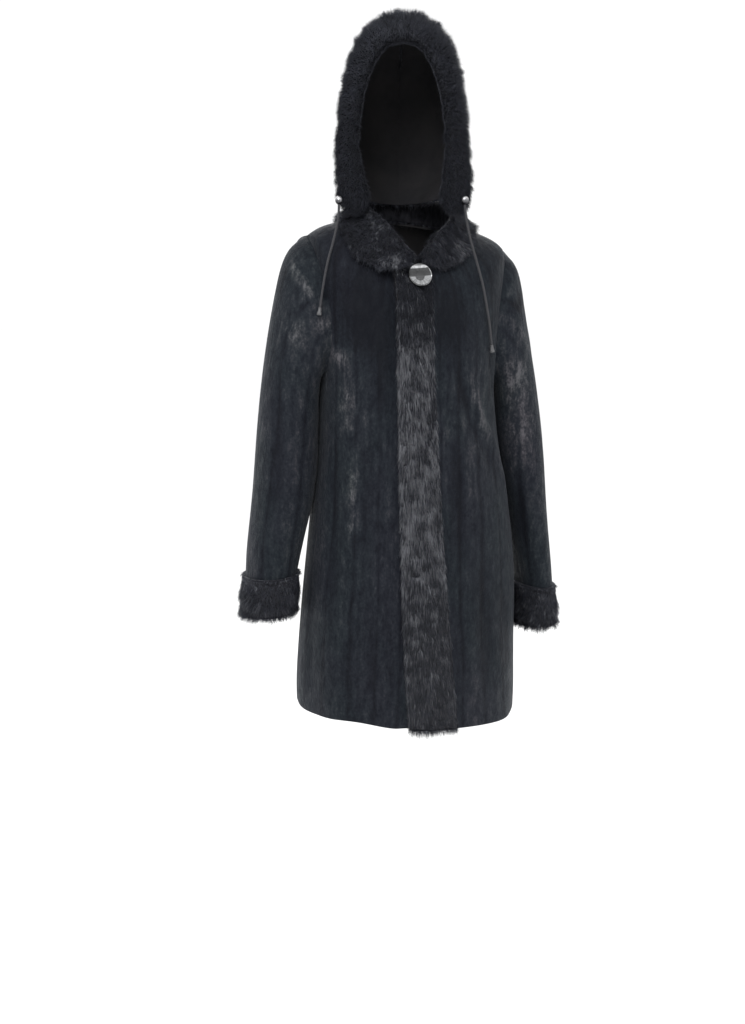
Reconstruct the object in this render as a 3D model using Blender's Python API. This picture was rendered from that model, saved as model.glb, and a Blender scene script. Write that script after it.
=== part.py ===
"""A hooded fur coat in its worn, hollow shape: sheared fronts, back and sleeves, with a long-haired
front band, collar, turn-back cuffs and hood, one metal button and two beaded drawcords.

Metres, +Z up, the coat faces -Y and the wearer's left is +X. The origin lies midway between the two
shoulder tips, where the wearer's shoulders carry the coat. Every wall reaches as far as its fur does."""

from math import asin, cos, pi, radians, sin

import bmesh
import bpy
import numpy as np
from mathutils import Vector

COLLECTION = "hooded fur coat"

# ---- driving dimensions ------------------------------------------------------------------------
SEAM = 0.0003  # gap between two pieces that are sewn together
SHEARED = 0.006  # wall of the sheared fur: leather and clipped pile
BAND_RISE = 0.007  # how far the long hair of the front band stands above the sheared fur
CUFF_WALL = 0.011
HOOD_WALL = 0.010

SHOULDER_TILT, HEM_TILT = 0.045, 0.035  # the wearer's right side is higher: rise per metre across
HOOD_TURN = radians(13)  # the hood looks this far towards the wearer's right
HOOD_SHIFT = -0.012

ARMPIT, SHOULDER_TIP, NECK = 0.640, 0.885, 0.985  # heights along the side, from the hem
ARMHOLE_SPREAD = radians(30)  # half the armhole's width, as an angle round the body
ARMHOLE_EASE = 1.6  # how fast the columns of a panel straighten away from the armhole

# The body's outline as rings, from the hem to the neckline.
BODY_COLUMNS = ("along", "side_z", "front_rise", "back_rise", "half_width", "front", "back",
                "square", "shift")
BODY = (
    (0.000, -0.832, 0.017, -0.004, 0.2185, 0.165, 0.146, 2.3, 0.0085),
    (0.025, -0.806, 0.013, -0.003, 0.2190, 0.164, 0.145, 2.3, 0.0085),
    (0.112, -0.723, 0.008, -0.001, 0.2150, 0.159, 0.139, 2.3, 0.0095),
    (0.225, -0.615, 0.003, 0.000, 0.2082, 0.154, 0.133, 2.3, 0.0125),
    (0.342, -0.503, 0.000, 0.000, 0.1970, 0.148, 0.127, 2.3, 0.0145),
    (0.425, -0.420, 0.000, 0.000, 0.1850, 0.142, 0.121, 2.35, 0.0125),
    (0.525, -0.320, 0.000, 0.000, 0.1690, 0.136, 0.118, 2.4, 0.006),
    (0.605, -0.240, 0.000, 0.000, 0.1585, 0.133, 0.119, 2.5, 0.002),
    (0.640, -0.205, 0.000, 0.000, 0.1565, 0.132, 0.120, 2.5, 0.0),
    (0.745, -0.105, -0.010, 0.000, 0.1610, 0.128, 0.121, 2.5, 0.0),
    (0.845, -0.010, -0.045, -0.015, 0.1690, 0.118, 0.116, 2.5, 0.0),
    (0.885, 0.036, -0.070, -0.015, 0.1720, 0.110, 0.108, 2.5, 0.0),
    (0.925, 0.055, -0.074, -0.003, 0.1380, 0.103, 0.092, 2.3, 0.0),
    (0.955, 0.063, -0.072, 0.004, 0.1100, 0.096, 0.079, 2.15, 0.0),
    (0.985, 0.066, -0.068, 0.010, 0.0800, 0.088, 0.064, 2.0, 0.0),
)

# Soft folds of the body: a trough or a ridge from one place to another.
FOLD_COLUMNS = ("from_turn", "from_along", "to_turn", "to_along", "width_turn", "height")
FOLDS = (
    (22, 0.668, 70, 0.525, 6, -0.0060),
    (30, 0.610, 72, 0.490, 8, 0.0035),
    (-78, 0.610, -80, 0.470, 5, -0.0035),
    (-66, 0.620, -70, 0.490, 5, -0.0030),
    (-52, 0.330, -50, 0.000, 8, 0.0035),
    (-30, 0.250, -27, 0.000, 7, -0.0030),
    (48, 0.300, 50, 0.000, 8, 0.0035),
    (68, 0.260, 66, 0.000, 7, -0.0030),
    (-120, 0.320, -122, 0.000, 9, -0.0035),
    (-150, 0.360, -152, 0.000, 9, 0.0035),
    (178, 0.330, 176, 0.000, 9, -0.0030),
    (150, 0.360, 148, 0.000, 9, 0.0035),
    (120, 0.310, 118, 0.000, 9, -0.0035),
)
HEM_WAVES, HEM_WAVE_HEIGHT, HEM_WAVE_TOP = 9, 0.0025, 0.30
HEM_SKEW, HEM_LIFT, HEM_LIFT_TURN, HEM_LIFT_WIDTH = 0.012, 0.015, -42, 25
HEM_SKEW_TOP = 0.30  # the hem is lower on the wearer's left, and lifted at the right front corner

# The two long edges of the front band, from the hem to the neck: the free edge over the wearer's right
# front, and the seam to the wearer's left front.
EDGE_COLUMNS = ("along", "across")
BAND_EDGE = ((0.000, -0.029), (0.250, -0.040), (0.600, -0.046), (0.985, -0.053))
BAND_SEAM = ((0.000, 0.064), (0.330, 0.037), (0.540, 0.023), (0.720, 0.014), (0.985, 0.014))
BAND_FLAT, BAND_FULL = 0.030, 0.075  # how far below the neck its hair begins and is full
UNDER_EDGE = 0.006  # edge of the wearer's right front, under the band
UNDER_CLEAR = 0.02  # turn by which it is fully back before the band's edge
UNDER_SINK = 0.0066  # how far it lies back there
UNDER_WIDTH = 0.11  # turn over which it goes back

# The sleeve as rings, from the armhole to its end: its outer line, its inner line and its depth.
# left_out moves the outer line of the wearer's left sleeve, which is held closer to the body, and
# left_drop lowers its inner line, which is cut longer there.
SLEEVE_COLUMNS = ("out_x", "out_z", "in_x", "in_z", "depth", "back", "blend", "left_out", "left_drop")
SLEEVE = (
    (0.1720, 0.036, 0.1565, -0.2050, 0.071, 0.000, 1.00, 0.000, 0.000),
    (0.1920, 0.031, 0.1600, -0.2040, 0.072, 0.000, 0.97, -0.003, 0.000),
    (0.2085, 0.014, 0.1630, -0.2080, 0.074, 0.000, 0.90, -0.006, 0.000),
    (0.2195, -0.013, 0.1645, -0.2160, 0.075, 0.000, 0.74, -0.009, 0.000),
    (0.2275, -0.047, 0.1652, -0.2270, 0.075, 0.000, 0.54, -0.012, 0.000),
    (0.2365, -0.089, 0.1655, -0.2410, 0.075, 0.000, 0.32, -0.011, 0.000),
    (0.2465, -0.142, 0.1658, -0.2600, 0.074, -0.001, 0.13, -0.010, 0.000),
    (0.2560, -0.200, 0.1665, -0.2850, 0.073, -0.002, 0.00, -0.008, 0.000),
    (0.2645, -0.262, 0.1678, -0.3180, 0.072, -0.003, 0.00, -0.004, 0.000),
    (0.2720, -0.325, 0.1703, -0.3580, 0.071, -0.005, 0.00, -0.003, 0.000),
    (0.2790, -0.395, 0.1758, -0.4080, 0.070, -0.007, 0.00, -0.004, -0.002),
    (0.2880, -0.465, 0.1862, -0.4650, 0.069, -0.009, 0.00, -0.004, -0.004),
    (0.2985, -0.530, 0.2000, -0.5240, 0.069, -0.011, 0.00, -0.006, -0.006),
    (0.3015, -0.588, 0.2105, -0.5780, 0.069, -0.012, 0.00, -0.004, -0.012),
    (0.3065, -0.646, 0.2165, -0.6360, 0.069, -0.013, 0.00, -0.004, -0.026),
)
SLEEVE_RISE = {-1: 0.017, 1: -0.018}  # the wearer's right sleeve hangs shorter than the left one
LEFT_CLEARANCE = 0.029  # the left sleeve's inner line goes round the shifted skirt by this much
RIGHT_NEARNESS = 0.0042  # the right one's inner line lies closer to the body below the armhole
SLEEVE_FOLD_COLUMNS = ("ring", "turn", "ring_width", "turn_width", "height")
SLEEVE_FOLDS = (
    (5.4, 215, 0.8, 55, -0.0030),
    (8.0, 150, 0.9, 60, -0.0030),
    (9.3, 205, 0.8, 50, 0.0022),
    (10.2, 160, 0.8, 60, -0.0025),
)
SLEEVE_END_TILT = 0.19  # its end is cut across the forearm, which reaches forwards
SLEEVE_TILT_START = 10.5  # sleeve ring from which the rings lean into that cut
CUFF_START = 12.75  # sleeve ring where the turned-back cuff ends, counted from the armhole
CUFF_LIP = 0.0015  # how far the cuff's fold passes the sleeve's end

# The hood as arches that fan back from the face to the nape about the two lower front corners.
HOOD_CORNER_Y, HOOD_CORNER_Z, HOOD_CORNER_OPEN = -0.058, 0.098, 0.020
HOOD_COLUMNS = ("fan", "reach", "half_width", "square")
HOOD = (
    (0, 0.2430, 0.0925, 2.55),
    (12, 0.262, 0.0960, 2.5),
    (30, 0.254, 0.1000, 2.45),
    (50, 0.218, 0.1020, 2.4),
    (64, 0.178, 0.0990, 2.3),
    (76, 0.137, 0.0930, 2.2),
    (88, 0.108, 0.0880, 2.1),
)
HOOD_FANS, HOOD_ROWS = (0, 6, 13, 22, 32, 43, 54, 65, 76, 88), 13
HOOD_PINCH, PINCH_TOP, PINCH_BACK = 0.40, 0.165, 0.055  # the hood narrows into the collar

# The gathered rim from its foot (0) to its top (1): half of its width, and how far it lies inwards.
RIM_COLUMNS = ("share", "half_width", "inwards")
RIM = (
    (0.00, 0.0270, 0.0060),
    (0.10, 0.0270, 0.0055),
    (0.22, 0.0235, 0.0020),
    (0.36, 0.0190, 0.0000),
    (0.60, 0.0195, 0.0000),
    (0.80, 0.0215, 0.0000),
    (1.00, 0.0215, 0.0000),
)
RIM_DEPTH, RIM_FOOT_Z = 0.0175, 0.076  # half of its thickness, front to back, and its ends' height
RIM_LEAN, RIM_LEAN_TOP = 0.005, 0.20  # its lower ends lie towards the wearer's left
RIM_PUFFS, RIM_PUFF_DEPTH = 24, 0.12  # gathers along it, and how deep they cut

# The collar, followed from the wearer's right end round the back to the left end.
COLLAR_COLUMNS = ("turn", "stand", "fall_along", "wall")
COLLAR = (
    (-360, 0.006, 0.036, 0.0110),
    (-350, 0.018, 0.046, 0.0125),
    (-338, 0.026, 0.050, 0.0140),
    (-322, 0.026, 0.044, 0.0140),
    (-302, 0.029, 0.038, 0.0140),
    (-275, 0.029, 0.036, 0.0140),
    (-240, 0.027, 0.042, 0.0140),
    (-180, 0.020, 0.056, 0.0140),
    (-120, 0.018, 0.044, 0.0140),
    (-88, 0.013, 0.036, 0.0140),
    (-75, 0.012, 0.046, 0.0140),
    (-58, 0.012, 0.062, 0.0140),
    (-40, 0.014, 0.082, 0.0140),
    (-25, 0.006, 0.088, 0.0140),
    (-15, 0.002, 0.090, 0.0125),
    (-8, 0.001, 0.084, 0.0110),
)
COLLAR_STATIONS = 45
COLLAR_ROUND = 7  # turn over which each end is rounded off
COLLAR_FOOT, COLLAR_GAP = 0.0050, 0.0040  # its wall at the neckline, and the gap inside its fold

BUTTON_X, BUTTON_ALONG, BUTTON_RADIUS = -0.009, 0.898, 0.020
BEAD_RADIUS, BEAD_AT = 0.0063, (0.100, -0.0945, 0.0910)
CORD_RADIUS = 0.002
CORD_RIGHT = (
    (-0.1307, -0.0696, 0.0843),
    (-0.1318, -0.0716, 0.0700),
    (-0.1360, -0.0742, 0.0500),
    (-0.1430, -0.0770, 0.0250),
    (-0.1510, -0.0785, 0.0000),
    (-0.1568, -0.0785, -0.0250),
    (-0.1615, -0.0790, -0.0500),
    (-0.1655, -0.0805, -0.0730),
)
CORD_LEFT = (
    (0.0642, -0.1146, 0.0843),
    (0.0668, -0.1142, 0.0680),
    (0.0735, -0.1120, 0.0430),
    (0.0830, -0.1085, 0.0180),
    (0.0940, -0.1040, -0.0080),
    (0.1040, -0.1080, -0.0440),
    (0.1140, -0.1075, -0.0860),
    (0.1230, -0.1020, -0.1250),
    (0.1245, -0.1015, -0.1340),
)
TIP_LENGTH, TIP_RADIUS = 0.012, 0.0042

ROWS_SKIRT, ROWS_ARMHOLE, ROWS_SHOULDER = 14, 9, 4
COLUMNS = {"front_right": 11, "front_left": 8, "back": 20, "front_band": 6}

# ---- finishes ----------------------------------------------------------------------------------
SHEARED_BLACK = ("sheared mink", (0.020, 0.023, 0.030), 0.75, 0.0)
LONG_BLACK = ("long mink", (0.024, 0.024, 0.028), 0.55, 0.0)
POLISHED = ("polished metal", (0.72, 0.73, 0.75), 0.12, 1.0)
SATIN_SILVER = ("satin silver", (0.70, 0.70, 0.70), 0.30, 1.0)
GREY_CORD = ("grey cord", (0.10, 0.10, 0.11), 0.70, 0.0)


def finish(spec):
    """The material of that name, made the first time it is asked for."""
    name, colour, roughness, metallic = spec
    material = bpy.data.materials.get(name)
    if material is None:
        material = bpy.data.materials.new(name)
        material.use_nodes = True
        shader = material.node_tree.nodes["Principled BSDF"]
        shader.inputs["Base Color"].default_value = (*colour, 1.0)
        shader.inputs["Roughness"].default_value = roughness
        shader.inputs["Metallic"].default_value = metallic
    return material


# ---- smooth tables -----------------------------------------------------------------------------
def column(table, names, name):
    return np.array([row[names.index(name)] for row in table], float)


def smooth(at, knots, values):
    """A smooth curve through a table's values that never swings past them."""
    step = np.diff(knots)
    slope = np.diff(values) / step
    tangent = np.zeros(len(knots))
    tangent[0], tangent[-1] = slope[0], slope[-1]
    same = slope[:-1] * slope[1:] > 0
    weight_a, weight_b = 2 * step[1:] + step[:-1], step[1:] + 2 * step[:-1]
    with np.errstate(divide="ignore", invalid="ignore"):
        mean = (weight_a + weight_b) / (weight_a / slope[:-1] + weight_b / slope[1:])
    tangent[1:-1] = np.where(same, mean, 0.0)
    at = np.clip(np.asarray(at, float), knots[0], knots[-1])
    left = np.clip(np.searchsorted(knots, at, side="right") - 1, 0, len(knots) - 2)
    t = (at - knots[left]) / step[left]
    return (
        values[left] * (1 + 2 * t) * (1 - t) ** 2
        + tangent[left] * step[left] * t * (1 - t) ** 2
        + values[left + 1] * t**2 * (3 - 2 * t)
        + tangent[left + 1] * step[left] * t**2 * (t - 1)
    )


def read(table, names, at):
    """Every column of a table at these values of its first column."""
    knots = column(table, names, names[0])
    return {name: smooth(at, knots, column(table, names, name)) for name in names[1:]}


def unit(vectors):
    return vectors / np.maximum(np.linalg.norm(vectors, axis=-1, keepdims=True), 1e-12)


def ramp(value, low, high):
    t = np.clip((value - low) / (high - low), 0, 1)
    return t * t * (3 - 2 * t)


def power(value, exponent):
    return np.sign(value) * np.abs(value) ** exponent


def evenly(line, count):
    """The same line with this many points, equally far apart."""
    reach = np.concatenate([[0], np.cumsum(np.linalg.norm(np.diff(line, axis=0), axis=1))])
    at = np.linspace(0, reach[-1], count)
    return np.stack([np.interp(at, reach, line[:, axis]) for axis in range(3)], 1)


# ---- the body's surface ------------------------------------------------------------------------
def folds_at(turn, along):
    """How far the soft folds lift the surface there."""
    lift = np.zeros(np.broadcast(turn, along).shape)
    for row in FOLDS:
        fold = dict(zip(FOLD_COLUMNS, row))
        share = (along - fold["from_along"]) / (fold["to_along"] - fold["from_along"])
        middle = fold["from_turn"] + share * (fold["to_turn"] - fold["from_turn"])
        away = (np.degrees(turn) - middle + 180) % 360 - 180
        fades_out = 1.0 if fold["to_along"] == 0 else ramp(1 - share, 0, 0.3)
        lift += (
            fold["height"]
            * np.exp(-((away / fold["width_turn"]) ** 2))
            * ramp(share, 0, 0.3)
            * fades_out
        )
    waves = HEM_WAVE_HEIGHT * np.cos(HEM_WAVES * turn + 0.7) * ramp(-along, -HEM_WAVE_TOP, 0)
    return lift + waves * ramp(np.abs(turn), radians(28), radians(45))


def body_plain(turn, along):
    """The body without its folds. turn is 0 at the centre front and 90 degrees at the left side."""
    turn, along = np.broadcast_arrays(np.asarray(turn, float), np.asarray(along, float))
    ring = read(BODY, BODY_COLUMNS, along)
    ahead = np.cos(turn)
    forward = ahead > 0
    reach = np.where(forward, ring["front"], ring["back"])
    rise = np.where(forward, ring["front_rise"], ring["back_rise"])
    bend = 2 / ring["square"]
    corner = (np.degrees(turn) - HEM_LIFT_TURN + 180) % 360 - 180
    lift = HEM_LIFT * np.exp(-((corner / HEM_LIFT_WIDTH) ** 2)) - HEM_SKEW * np.sin(turn)
    return np.stack(
        [
            ring["shift"] + ring["half_width"] * power(np.sin(turn), bend),
            -reach * power(ahead, bend),
            ring["side_z"] + rise * ahead**2 + lift * ramp(-along, -HEM_SKEW_TOP, 0),
        ],
        -1,
    )


def outward(surface, turn, along, step=0.002):
    """The surface's own direction outwards, from its slopes both ways."""
    low, high = np.clip(along - step, 0, NECK), np.clip(along + step, 0, NECK)
    across = surface(turn + step * 4, along) - surface(turn - step * 4, along)
    up = surface(turn, high) - surface(turn, low)
    return unit(np.cross(across, up))


def body(turn, along, out=0.0):
    """Points of the body, moved out by so much along its own outward direction."""
    turn, along = np.broadcast_arrays(np.asarray(turn, float), np.asarray(along, float))
    normal = outward(body_plain, turn, along)
    lift = np.asarray(out, float) + folds_at(turn, along)
    return body_plain(turn, along) + normal * lift[..., None]


def turn_at(x, along):
    """The turn at which the front of the body is x across."""
    ring = read(BODY, BODY_COLUMNS, along)
    share = (np.asarray(x) - ring["shift"]) / ring["half_width"]
    return np.arcsin(np.clip(power(share, ring["square"] / 2), -1, 1))


def armhole_spread(along):
    """Half the armhole's width there, as a turn, and 0 above and below it."""
    share = np.clip((along - ARMPIT) / (SHOULDER_TIP - ARMPIT), 0, 1)
    return ARMHOLE_SPREAD * np.sqrt(np.maximum(1 - (2 * share - 1) ** 2, 0))


def armhole_rows():
    """Heights along the armhole, closer together at its two ends."""
    share = np.linspace(0, 1, ROWS_ARMHOLE + 1)
    closer = (1 - np.cos(pi * share)) / 2
    return ARMPIT + (SHOULDER_TIP - ARMPIT) * (0.4 * share + 0.6 * closer)


def body_rows():
    skirt = np.linspace(0, 1, ROWS_SKIRT, endpoint=False)
    skirt = np.concatenate([[0, 0.012], skirt[1:]]) * ARMPIT
    shoulder = np.linspace(SHOULDER_TIP, NECK, ROWS_SHOULDER + 1)[1:]
    return np.concatenate([skirt, armhole_rows(), shoulder])


def posed(points):
    """The worn pose: one shoulder is carried higher than the other."""
    points = np.array(points, float)
    high = ramp(points[..., 2], BODY[0][1], 0.0)
    points[..., 2] -= (HEM_TILT + (SHOULDER_TILT - HEM_TILT) * high) * points[..., 0]
    return points


# ---- meshes ------------------------------------------------------------------------------------
def new_piece(name, points, faces, spec):
    mesh = bpy.data.meshes.new(name)
    mesh.from_pydata([tuple(p) for p in points], [], faces)
    shape = bmesh.new()
    shape.from_mesh(mesh)
    bmesh.ops.recalc_face_normals(shape, faces=shape.faces)
    shape.to_mesh(mesh)
    shape.free()
    mesh.shade_smooth()
    mesh.set_sharp_from_angle(angle=radians(50))
    mesh.materials.append(finish(spec))
    piece = bpy.data.objects.new(name, mesh)
    bpy.data.collections[COLLECTION].objects.link(piece)
    return piece


def sheet_wall(name, outer, inner, spec):
    """A wall between two grids of points, closed along its four edges."""
    rows, columns = outer.shape[:2]
    points = np.concatenate([outer.reshape(-1, 3), inner.reshape(-1, 3)])
    inside = rows * columns

    def at(row, col, base):
        return base + row * columns + col

    faces = []
    for row in range(rows - 1):
        for col in range(columns - 1):
            square = [at(row, col, 0), at(row, col + 1, 0), at(row + 1, col + 1, 0), at(row + 1, col, 0)]
            faces.append(square)
            faces.append([inside + corner for corner in reversed(square)])
    edge = (
        [at(0, col, 0) for col in range(columns)]
        + [at(row, columns - 1, 0) for row in range(1, rows)]
        + [at(rows - 1, col, 0) for col in range(columns - 2, -1, -1)]
        + [at(row, 0, 0) for row in range(rows - 2, 0, -1)]
    )
    for here, after in zip(edge, edge[1:] + edge[:1]):
        faces.append([after, here, inside + here, inside + after])
    return new_piece(name, points, faces, spec)


def ring_wall(name, loops, spec):
    """A tube's wall from loops round it, given in order all round its section."""
    count, around = loops.shape[:2]
    faces = []
    for i in range(count):
        for j in range(around):
            k = (i + 1) % count
            beside = (j + 1) % around
            faces.append([i * around + j, i * around + beside, k * around + beside, k * around + j])
    return new_piece(name, loops.reshape(-1, 3), faces, spec)


def bar(name, sections, spec):
    """A solid through closed sections, with a cap at each end."""
    count, around = sections.shape[:2]
    faces = []
    for i in range(count - 1):
        for j in range(around):
            k = (j + 1) % around
            faces.append([i * around + j, i * around + k, (i + 1) * around + k, (i + 1) * around + j])
    faces.append(list(range(around)))
    faces.append([(count - 1) * around + j for j in reversed(range(around))])
    return new_piece(name, sections.reshape(-1, 3), faces, spec)


# ---- fronts, band and back ---------------------------------------------------------------------
def seam_turn(along):
    """Half the seam gap, as a turn."""
    return SEAM / 2 / read(BODY, BODY_COLUMNS, along)["half_width"]


def front_line(edge, along):
    """The turn at which a long edge of the band lies."""
    return turn_at(read(edge, EDGE_COLUMNS, along)["across"], along)


def panel(name, starts, ends, armholes, spec, out=lambda turn, along: (0.0, -SHEARED), more=()):
    """A piece of the body between two turns, which both depend on the height.

    armholes says whether an armhole cuts into its start and into its end, and more holds the turns of
    columns beyond the end."""
    along = body_rows()[:, None]
    share = np.linspace(0, 1, COLUMNS[name] + 1)[None, :]
    turn = starts(along) + (ends(along) - starts(along)) * share
    eased = armholes[0] * (1 - share) ** ARMHOLE_EASE - armholes[1] * share**ARMHOLE_EASE
    turn = turn + armhole_spread(along) * eased
    turn = np.concatenate([turn, *(line(along) for line in more)], 1)
    outer_out, inner_out = out(turn, along)
    return sheet_wall(
        name, posed(body(turn, along, outer_out)), posed(body(turn, along, inner_out)), spec
    )


def under_start(along):
    """Where the wearer's right front starts to lie back, just short of the band's free edge."""
    return front_line(BAND_EDGE, along) - UNDER_WIDTH - UNDER_CLEAR


def under_line(share):
    """A column on the stretch where that front goes back."""
    return lambda along: under_start(along) + UNDER_WIDTH * share


def covered_line(share):
    """A column of the flat stretch under the band, out to that front's own edge."""

    def line(along):
        back = under_start(along) + UNDER_WIDTH
        return back + (turn_at(UNDER_EDGE, along) - back) * share

    return line


def under_band(turn, along):
    """The wearer's right front lies back where the band covers it."""
    start = under_start(along)
    sink = UNDER_SINK * ramp(turn, start, start + UNDER_WIDTH)
    return -sink, -sink - SHEARED


def band_fullness(along):
    """The band's hair is flattened where the collar lies on it."""
    return 0.1 + 0.9 * ramp(NECK - along, BAND_FLAT, BAND_FULL)


def band_wall(turn, along):
    """The band is fullest in its middle and rounds off at its two edges."""
    edge, seam = front_line(BAND_EDGE, along), front_line(BAND_SEAM, along)
    share = (turn - edge) / (seam - edge)
    crown = 0.62 + 0.38 * np.sin(pi * np.clip(share, 0.0, 1.0)) ** 0.5
    return BAND_RISE * crown * band_fullness(along), -SHEARED


def make_body():
    panel(
        "front_right",
        lambda a: seam_turn(a) - pi / 2,
        under_start,
        (1, 0),
        SHEARED_BLACK,
        under_band,
        [under_line(share) for share in (0.5, 1.0)] + [covered_line(share) for share in (0.3, 0.65, 1.0)],
    )
    panel(
        "front_left",
        lambda a: front_line(BAND_SEAM, a) + seam_turn(a),
        lambda a: pi / 2 - seam_turn(a),
        (0, 1),
        SHEARED_BLACK,
    )
    panel(
        "front_band",
        lambda a: front_line(BAND_EDGE, a),
        lambda a: front_line(BAND_SEAM, a) - seam_turn(a),
        (0, 0),
        LONG_BLACK,
        band_wall,
    )
    panel(
        "back",
        lambda a: pi / 2 + seam_turn(a),
        lambda a: 3 * pi / 2 - seam_turn(a),
        (1, 1),
        SHEARED_BLACK,
    )


# ---- sleeves and cuffs -------------------------------------------------------------------------
def armhole_loop(side, out):
    """The armhole's edge on the body, a seam's gap inside it, from the armpit up the front and down
    the back."""
    along = armhole_rows()
    narrowed = np.maximum(armhole_spread(along) - 2 * seam_turn(along), 0.0)
    inset = SEAM * 1.6 * np.cos(np.linspace(0, pi, len(along)))
    along = along + inset
    front = body(side * (pi / 2 - narrowed), along, out)
    back = body(side * (pi / 2 + narrowed), along, out)
    return np.concatenate([front, back[-2:0:-1]])


def sleeve_ring(side, ring):
    """An oval at a place along the sleeve, counted in rings, with the same points as the armhole."""
    knots = np.arange(len(SLEEVE))
    at = {name: smooth(ring, knots, column(SLEEVE, SLEEVE_COLUMNS, name)) for name in SLEEVE_COLUMNS}
    fall = ramp(-at["out_z"], 0.0, 0.5)
    rise = SLEEVE_RISE[side] * fall
    if side > 0:
        clear = LEFT_CLEARANCE * ramp(-at["in_z"], 0.25, 0.44)
    else:
        clear = -RIGHT_NEARNESS * ramp(-at["in_z"], 0.20, 0.27) * (1 - ramp(-at["in_z"], 0.44, 0.60))
    closer, drop = (at["left_out"], at["left_drop"]) if side > 0 else (0.0, 0.0)
    outer = np.array([at["out_x"] + closer, at["back"], at["out_z"] + rise])
    inner = np.array([at["in_x"] + clear, at["back"], at["in_z"] + rise + drop])
    turn = np.linspace(pi, 3 * pi, 2 * ROWS_ARMHOLE, endpoint=False)
    middle, half = (outer + inner) / 2, (outer - inner) / 2
    oval = (
        middle
        + half * np.cos(turn)[:, None]
        + np.array([0, 1, 0]) * (at["depth"] * np.sin(turn))[:, None]
    )
    lean = SLEEVE_END_TILT * ramp(ring, SLEEVE_TILT_START, len(SLEEVE) - 1)
    oval[:, 2] -= lean * (oval[:, 1] - at["back"])
    return oval * np.array([side, 1, 1]), at["blend"]


def sleeve_surface(side):
    """The sleeve's outer rings, eased from the armhole's own line into ovals."""
    first = armhole_loop(side, 0.0)
    plain, _ = sleeve_ring(side, 0)
    rings = [first]
    for ring in range(1, len(SLEEVE)):
        oval, blend = sleeve_ring(side, ring)
        rings.append(oval + blend * (first - plain))
    rings = np.array(rings)
    normal = ring_normals(rings, side)
    turn = np.degrees(np.linspace(pi, 3 * pi, rings.shape[1], endpoint=False)) % 360
    lift = np.zeros(rings.shape[:2])
    for row in SLEEVE_FOLDS:
        fold = dict(zip(SLEEVE_FOLD_COLUMNS, row))
        away = (turn[None, :] - fold["turn"] + 180) % 360 - 180
        along = np.arange(len(rings))[:, None] - fold["ring"]
        lift += fold["height"] * np.exp(
            -((away / fold["turn_width"]) ** 2) - (along / fold["ring_width"]) ** 2
        )
    lift[0] = 0
    return rings + normal * lift[..., None], normal


def ring_normals(rings, side):
    around = np.roll(rings, -1, 1) - np.roll(rings, 1, 1)
    down = np.concatenate([rings[1:2] - rings[:1], rings[2:] - rings[:-2], rings[-1:] - rings[-2:-1]])
    normal = unit(np.cross(around, down)) * side
    middle = rings.mean(1, keepdims=True)
    outwards = ((rings - middle) * normal).sum(-1).mean() > 0
    return normal if outwards else -normal


def make_sleeve(side):
    name = "left" if side > 0 else "right"
    rings, normal = sleeve_surface(side)
    inner = rings - normal * SHEARED
    inner[0] = armhole_loop(side, -SHEARED)
    ring_wall(f"sleeve_{name}", posed(np.concatenate([rings, inner[::-1]])), SHEARED_BLACK)

    places = np.linspace(CUFF_START, len(rings) - 1, 6)

    def at(place):
        low = min(int(place), len(rings) - 2)
        share = place - low
        point = rings[low] * (1 - share) + rings[low + 1] * share
        return point, unit(normal[low] * (1 - share) + normal[low + 1] * share)

    down = unit(rings[-1].mean(0) - rings[-2].mean(0)) * CUFF_LIP
    clear = SEAM * 1.5
    inside, outside = [], []
    for i, place in enumerate(places):
        point, out = at(place)
        if i == len(places) - 1:
            point = point + down
        share = i / (len(places) - 1)
        full = 0.70 + 0.30 * sin(pi * min(max(share, 0.06), 0.94)) ** 0.5
        inside.append(point + out * clear)
        outside.append(point + out * (clear + CUFF_WALL * full))
    ring_wall(
        f"cuff_{name}", posed(np.concatenate([np.array(outside), np.array(inside)[::-1]])), LONG_BLACK
    )


# ---- hood --------------------------------------------------------------------------------------
def turned(points):
    """Hood points, turned to where the wearer looks."""
    points = np.asarray(points, float)
    c, s = cos(HOOD_TURN), sin(HOOD_TURN)
    x, y = points[..., 0], points[..., 1]
    return np.stack([c * x + s * y + HOOD_SHIFT, c * y - s * x, points[..., 2]], -1)


def hood_arch(fan, count, inset=0.0):
    """Half of an arch, from the lower front corner to the top, in the plane of that fan angle."""
    row = read(HOOD, HOOD_COLUMNS, fan)
    reach, half, bend = row["reach"] - inset, row["half_width"] - inset, 2 / row["square"]
    start = asin((HOOD_CORNER_OPEN / reach) ** (1 / bend))
    turn = np.linspace(start, pi / 2, 200)
    away = reach * np.sin(turn) ** bend
    across = half * np.abs(np.cos(turn)) ** bend
    across[-1] = 0
    line = np.stack(
        [across, HOOD_CORNER_Y + away * sin(radians(fan)), HOOD_CORNER_Z + away * cos(radians(fan))], 1
    )
    behind = ramp(line[:, 1], HOOD_CORNER_Y, HOOD_CORNER_Y + PINCH_BACK)
    line[:, 0] *= 1 - HOOD_PINCH * behind * (1 - ramp(line[:, 2], HOOD_CORNER_Z, PINCH_TOP))
    return evenly(line, count)


def make_hood(side):
    name = "left" if side > 0 else "right"
    walls = []
    for inset in (0.0, HOOD_WALL):
        grid = np.array([hood_arch(fan, HOOD_ROWS, inset) for fan in HOOD_FANS])
        grid[..., 0] = side * (grid[..., 0] + SEAM / 2)
        walls.append(turned(grid))
    sheet_wall(f"hood_{name}", *walls, LONG_BLACK)


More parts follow.
